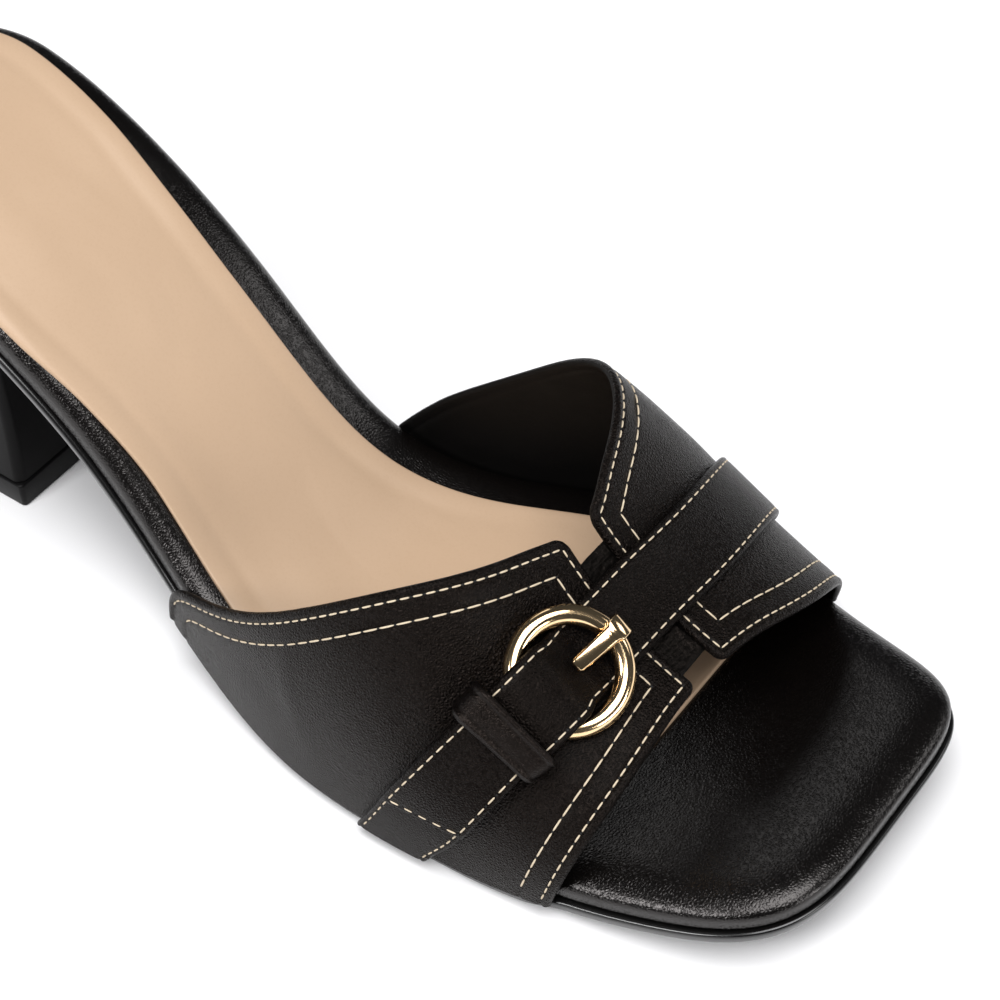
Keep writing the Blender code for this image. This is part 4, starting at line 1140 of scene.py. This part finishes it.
class Strap:
    """Places points over the vamp by their distance along and square to the strap."""

    def __init__(self):
        self.angles = np.linspace(-90, 90, 1441)
        run = run_along(self.middle(self.angles))
        self.along = run - np.interp(RING_ANGLE, self.angles, run)

    def middle(self, angle):
        return vamp(read_strap(angle) * LENGTH, angle)

    def section(self, along):
        angle = np.interp(along, self.along, self.angles)
        x = read_strap(angle) * LENGTH
        normal = vamp_normal(x, angle)
        aside = np.cross(self.middle(angle + 0.2) - self.middle(angle - 0.2), normal)
        return x, angle, normal, unit(aside)

    def place(self, along, across, height):
        """Square to the strap, but for its ends, which turn into the feather edge."""
        along, across, height = np.broadcast_arrays(
            *(np.asarray(v, float) for v in (along, across, height))
        )
        x, angle, up, aside = self.section(along)
        flat = vamp(x, angle) + aside * across[..., None] + up * height[..., None]
        speed = np.linalg.norm(vamp(x + 0.5, angle) - vamp(x - 0.5, angle), axis=-1)
        square_x, square_angle = walk(x, angle, aside, across)
        ending = ease((np.abs(angle) - STRAP_END_TURN) / (90 - STRAP_END_TURN))
        x = square_x * (1 - ending) + (x + across / speed) * ending
        angle = square_angle * (1 - ending) + angle * ending
        bent = vamp(x, angle) + vamp_normal(x, angle) * height[..., None]
        low = underside(along)
        share = (ease((low - 2.2) / 2.2) * np.clip(height / low, 0, 1))[..., None]
        return bent * (1 - share) + flat * share

    def frame(self, along, across, height):
        """A place at a height over the strap's line, and the direction away from the vamp."""
        point = self.place(along, across, height)
        return point, unit(self.place(along, across, height + 0.1) - point)


strap = Strap()
LATERAL_END = float(strap.along[0])
MEDIAL_END = float(strap.along[-1])
STRAP_HALF = STRAP_W / 2
STRAP_ROW = 1.1
TIP = np.array([0, 0.03, 0.1, 0.2, 0.33, 0.5, 0.7])
BAND_FINE = np.array([*TIP, 0.9, 1.05, 1.2, 1.4, 1.7, 2.2, 3.0, 4.2, 5.6])


def slanted(along, across):
    """Distance along the strap of a section point, with the tail's end cut at a slant."""
    fade = ease(1 - (along + TAIL_END) / TAIL_SLANT_FADE)
    return along + across * math.tan(math.radians(TAIL_SLANT)) * fade


def leather_band(name, along, low, thick, node, tail):
    """A strip of leather with rounded edges and sunk stitch rows, cut at a slant at the tail."""
    across = np.concatenate([STRAP_HALF - BAND_FINE, [0.0], BAND_FINE[::-1] - STRAP_HALF])
    s, c = np.meshgrid(along, across, indexing="ij")
    side = STRAP_HALF - np.abs(c)
    sunk = 0.13 * bump_line(side, STRAP_ROW, 0.28)
    if tail:
        end = (s - along[0]) * math.cos(math.radians(TAIL_SLANT))
        s = slanted(s, c)
        sunk += 0.13 * bump_line(end, STRAP_ROW, 0.28) * (side > 1.0)
    else:
        end = along[-1] - s
    distance = np.minimum(side, end)
    drop = rounded(distance, thick / 2)
    crown = 0.13 * (1 - (c / STRAP_HALF) ** 2) + 0.05 * bump_line(side, 0.55, 0.3)
    lower = low(s)
    top = strap.place(s, c, lower + thick - drop + crown * np.clip(distance, 0, 1) - sunk)
    bottom = strap.place(s, c, lower + drop)
    make(name, *closed_sheet(top, bottom), [STRAP_LEATHER], node, "strap_leather")


def strap_line(start, end, across, thick, low, pitch, length, tail=False):
    along = np.linspace(start, end, max(8, int((end - start) / 0.5)))
    if tail:
        along = slanted(along, across)
    point, up = strap.frame(along, across, low(along) + thick - 0.08)
    stitch_row(point, up, pitch, length)


def lower_low(s):
    return np.full(np.shape(s), 0.12)


def tail_low(s):
    """The tail's underside comes down onto the lower layer at its sewn end."""
    return underside(s) - 0.48 * (1 - ease((np.asarray(s, float) + TAIL_END + 4) / 14.0))


def middle_steps(start, end, step):
    return np.linspace(start + 1.0, end - 1.0, int((end - start) / step))


def build_strap():
    """The belt from its tail to the medial edge, its lower layer, and their stitch rows."""
    start = -TAIL_END
    along = np.concatenate([start + TIP, middle_steps(start, MEDIAL_END, 0.55), [MEDIAL_END]])
    leather_band("belt_strap", along, tail_low, STRAP_T, "strap", True)
    end = 0.6 - KEEPER_AT - KEEPER_W / 2
    along = np.concatenate([[LATERAL_END], middle_steps(LATERAL_END, end, 0.7), end - TIP[::-1]])
    leather_band("strap_lower_layer", along, lower_low, LOWER_T, "strap_anchor", False)
    reach = STRAP_HALF - STRAP_ROW
    for across in (-reach, reach):
        strap_line(start + 1.2, -KEEPER_AT - 2.2, across, STRAP_T, tail_low, 2.5, 1.85, True)
        strap_line(2.2 - KEEPER_AT, MEDIAL_END - 0.5, across, STRAP_T, underside, 2.5, 1.85)
        sewn = float(slanted(start, across)) - 0.9
        strap_line(LATERAL_END + 0.8, sewn, across, LOWER_T, lower_low, 2.1, 1.5)
    across = np.linspace(reach, -reach, 30)
    at = slanted(np.full(30, start + 1.2), across)
    stitch_row(*strap.frame(at, across, tail_low(at) + STRAP_T + 0.02), 2.3, 1.7)


def keeper_path(height, grow):
    """Rounded path over the strap from its toe side to its heel side, a layer's growth out."""
    half = STRAP_HALF + 0.3
    heel = half + 0.5
    toe_bend, heel_bend = 0.9, 1.7
    path = [(half + grow, up) for up in (-0.2, 0.4, 1.0)]
    quarter = np.radians(np.linspace(0, 90, 13))
    reach = toe_bend + grow
    for turn in quarter:
        out, up = reach * math.cos(turn), reach * math.sin(turn)
        path.append((half - toe_bend + out, height - toe_bend + up))
    for share in np.linspace(-1, 1, 17)[1:-1]:
        across = -share * (half - 1.6) - 0.2 * (1 + share)
        path.append((across, height + grow + 0.25 * (1 - share**2)))
    reach = heel_bend + grow
    for turn in quarter[::-1]:
        out, up = reach * math.cos(turn), reach * math.sin(turn)
        path.append((heel_bend - heel - out, height - heel_bend + up))
    path += [(-heel - grow, up) for up in (1.0, 0.4, -0.2)]
    return np.array(path).T


def build_keeper():
    """A leather loop bent over the strap, with a raised line along both of its edges."""
    fine = np.array([0, 0.04, 0.12, 0.24, 0.38, 0.52, 0.66, 0.8, 0.95, 1.1, 1.3, 1.6, 2.0])
    w = KEEPER_W / 2
    outer, inner = [], []
    for offset in np.concatenate([fine - w, [0.0], w - fine[::-1]]):
        side = w - abs(offset)
        along = offset - KEEPER_AT
        clear = underside(along) + STRAP_T + 0.45
        drop = rounded(side, 0.5)
        line = 0.26 * bump_line(side, 0.62, 0.26) - 0.16 * bump_line(side, 1.15, 0.26)
        outer.append(strap.place(along, *keeper_path(clear, KEEPER_T - drop + line)))
        inner.append(strap.place(along, *keeper_path(clear, drop)))
    points, faces = closed_sheet(np.array(outer), np.array(inner))
    make("keeper_loop", points, faces, [KEEPER_LEATHER], "strap_keeper", "strap_leather")


def ring_frame():
    """The ring's centre, and its directions along and across the strap and out of its plane."""
    normal = strap.section(np.array(0.0))[2]
    point = strap.place(0.0, 0.0, 0.0)
    ahead = strap.place(1.0, 0.0, 0.0) - point
    flat = unit(ahead - normal * np.dot(ahead, normal))
    along, axis = turned(flat, normal, RING_TILT)
    return point + normal * RING_LIFT, along, np.cross(along, axis), axis


def build_ring():
    centre, along, across, axis = ring_frame()
    turns = np.linspace(0, 2 * np.pi, 180, endpoint=False)
    rolls = np.linspace(0, 2 * np.pi, 40, endpoint=False)
    points = []
    for turn in turns:
        out = along * math.cos(turn) + across * math.sin(turn)
        tube = np.outer(np.cos(rolls), out) + np.outer(np.sin(rolls), axis)
        points.append(centre + out * RING_R + RING_T * tube)
    faces = grid(len(turns), len(rolls), wrap_rows=True, wrap_columns=True)
    make("ring_gold", np.vstack(points), faces, [GOLD], "buckle_ring", "buckle_metal", 80)


def bar_section(half, thick, bevel, soft=0.05):
    """An octagon with softened corners, as distances across and up."""
    quarter = [(half - bevel, -thick), (half, bevel - thick)]
    lower = [(-x, y) for x, y in quarter[::-1]] + quarter
    points = np.array(lower + [(x, -y) for x, y in lower[::-1]])
    section = []
    for k, point in enumerate(points):
        for other in (points[k - 1], points[(k + 1) % 8]):
            step = other - point
            section.append(point + step * min(0.45, soft / (np.linalg.norm(step) + 1e-9)))
    return np.array(section)


def build_prong():
    """A flat bar hooked over the ring's medial side. Its tip lies on the strap inside the ring."""
    centre, along, across, axis = ring_frame()
    hook = RING_T + 0.12 + PRONG_T
    path = [(hook * math.cos(t), hook * math.sin(t)) for t in np.radians(np.linspace(-35, 104, 30))]
    for share in np.linspace(0.12, 1.0, 34):
        path.append((-PRONG_LENGTH * share, hook - 1.15 * share**2))
    path = np.array(path)
    tangent = unit(np.gradient(path, axis=0))
    rings = []
    for number, ((out, up), (t_out, t_up)) in enumerate(zip(path, tangent)):
        middle = centre + along * (RING_R + out) + axis * up
        side = along * t_up - axis * t_out
        reach = float(np.clip(-out / PRONG_LENGTH, 0, 1))
        widen = 1 - float(ease((0.35 - out) / 0.45))
        half = (3.0 - 0.5 * reach) / 2 * (1 - widen) + 1.9 * widen
        tip = math.sqrt(max(0.0, 1 - max(0.0, (reach - 0.9) / 0.1) ** 2))
        start = min(1.0, 0.6 + number * 0.2)
        bevel = (0.34 - 0.1 * widen) * (0.5 + 0.5 * tip) * start
        section = bar_section(half * (0.6 + 0.4 * tip), PRONG_T * (0.5 + 0.5 * tip) * start, bevel)
        rings.append(middle + np.outer(section[:, 0], across) + np.outer(section[:, 1], side))
    n, m = len(rings), len(rings[0])
    faces = grid(n, m, wrap_columns=True) + [range(m), range((n - 1) * m, n * m)]
    make("prong_gold", np.vstack(rings), faces, [GOLD], "buckle_prong", "buckle_metal", 50)


build_footbed()
build_sock()
build_outsole()
build_heel()
build_panel(-1, "vamp_lateral_panel")
build_panel(1, "vamp_medial_panel")
panel_stitches(-1)
panel_stitches(1)
build_gore()
build_strap()
build_keeper()
build_ring()
build_prong()
build_stitches()


# Studio


def link(name, data):
    piece = bpy.data.objects.new(name, data)
    bpy.context.scene.collection.objects.link(piece)
    return piece


def floor(size=3.0):
    data = bpy.data.meshes.new("studio_floor")
    corners = [(-size, -size, 0), (size, -size, 0), (size, size, 0), (-size, size, 0)]
    data.from_pydata(corners, [], [(0, 1, 2, 3)])
    white = Nodes("floor_white").finish((0.96, 0.955, 0.965), 0.7, Specular_IOR_Level=0.1)
    data.materials.append(white)
    link("studio_floor", data)


def area(name, place, aim, size, power):
    data = bpy.data.lights.new(name, "AREA")
    data.shape = "RECTANGLE"
    data.size, data.size_y = size
    data.energy = power
    lamp = link(name, data)
    lamp.location = place
    lamp.rotation_euler = (Vector(aim) - Vector(place)).to_track_quat("-Z", "Y").to_euler()


def studio():
    floor()
    world = bpy.data.worlds.new("studio")
    world.use_nodes = True
    inputs = world.node_tree.nodes["Background"].inputs
    inputs["Color"].default_value = (0.85, 0.92, 1.0, 1)
    inputs["Strength"].default_value = 0.06
    bpy.context.scene.world = world
    area("main", (0.40, -0.50, 2.40), (0.02, 0.0, 0.0), (1.8, 1.8), 70.0)
    area("toe_edge", (-0.22, -0.80, 0.58), (0.08, -0.03, 0.02), (0.35, 0.25), 4.2)
    area("vamp_edge", (1.00, -0.08, 0.33), (0.05, 0.0, 0.03), (0.4, 0.25), 2.8)
    area("far_right", (0.60, 0.65, 0.55), (0.05, 0.0, 0.03), (0.4, 0.3), 1.2)
    area("back_left", (-0.9, 0.6, 0.7), (0.05, 0.0, 0.03), (0.5, 0.4), 0.8)
    view = bpy.context.scene.view_settings
    view.view_transform = "Standard"
    view.look = "None"
    view.exposure = 0.0
    view.gamma = 1.0


# The camera as fitted to the photo: degrees, millimetres, and pixels of its 1000-pixel width
CAMERA_TURN = (37.69, 47.05, -2.21)
CAMERA_PLACE = (312.8, -216.7, 332.9)
CAMERA_FOCAL = 2443.65
SENSOR = 36.0


def camera():
    azimuth, elevation, roll = (math.radians(v) for v in CAMERA_TURN)
    flat = Vector((math.sin(azimuth), -math.cos(azimuth), 0)) * math.cos(elevation)
    back = flat + Vector((0, 0, math.sin(elevation)))
    right = Vector((math.cos(azimuth), math.sin(azimuth), 0))
    up = back.cross(right)
    rolled_right = right * math.cos(roll) + up * math.sin(roll)
    rolled_up = up * math.cos(roll) - right * math.sin(roll)
    data = bpy.data.cameras.new("camera")
    data.sensor_fit = "HORIZONTAL"
    data.sensor_width = SENSOR
    data.lens = CAMERA_FOCAL * SENSOR / 1000
    data.clip_start = 0.01
    data.clip_end = 20
    matrix = Matrix((rolled_right, rolled_up, back)).transposed().to_4x4()
    matrix.translation = Vector((np.array(CAMERA_PLACE) + SHIFT) * 0.001)
    piece = link("camera", data)
    piece.matrix_world = matrix
    bpy.context.scene.camera = piece


studio()
camera()
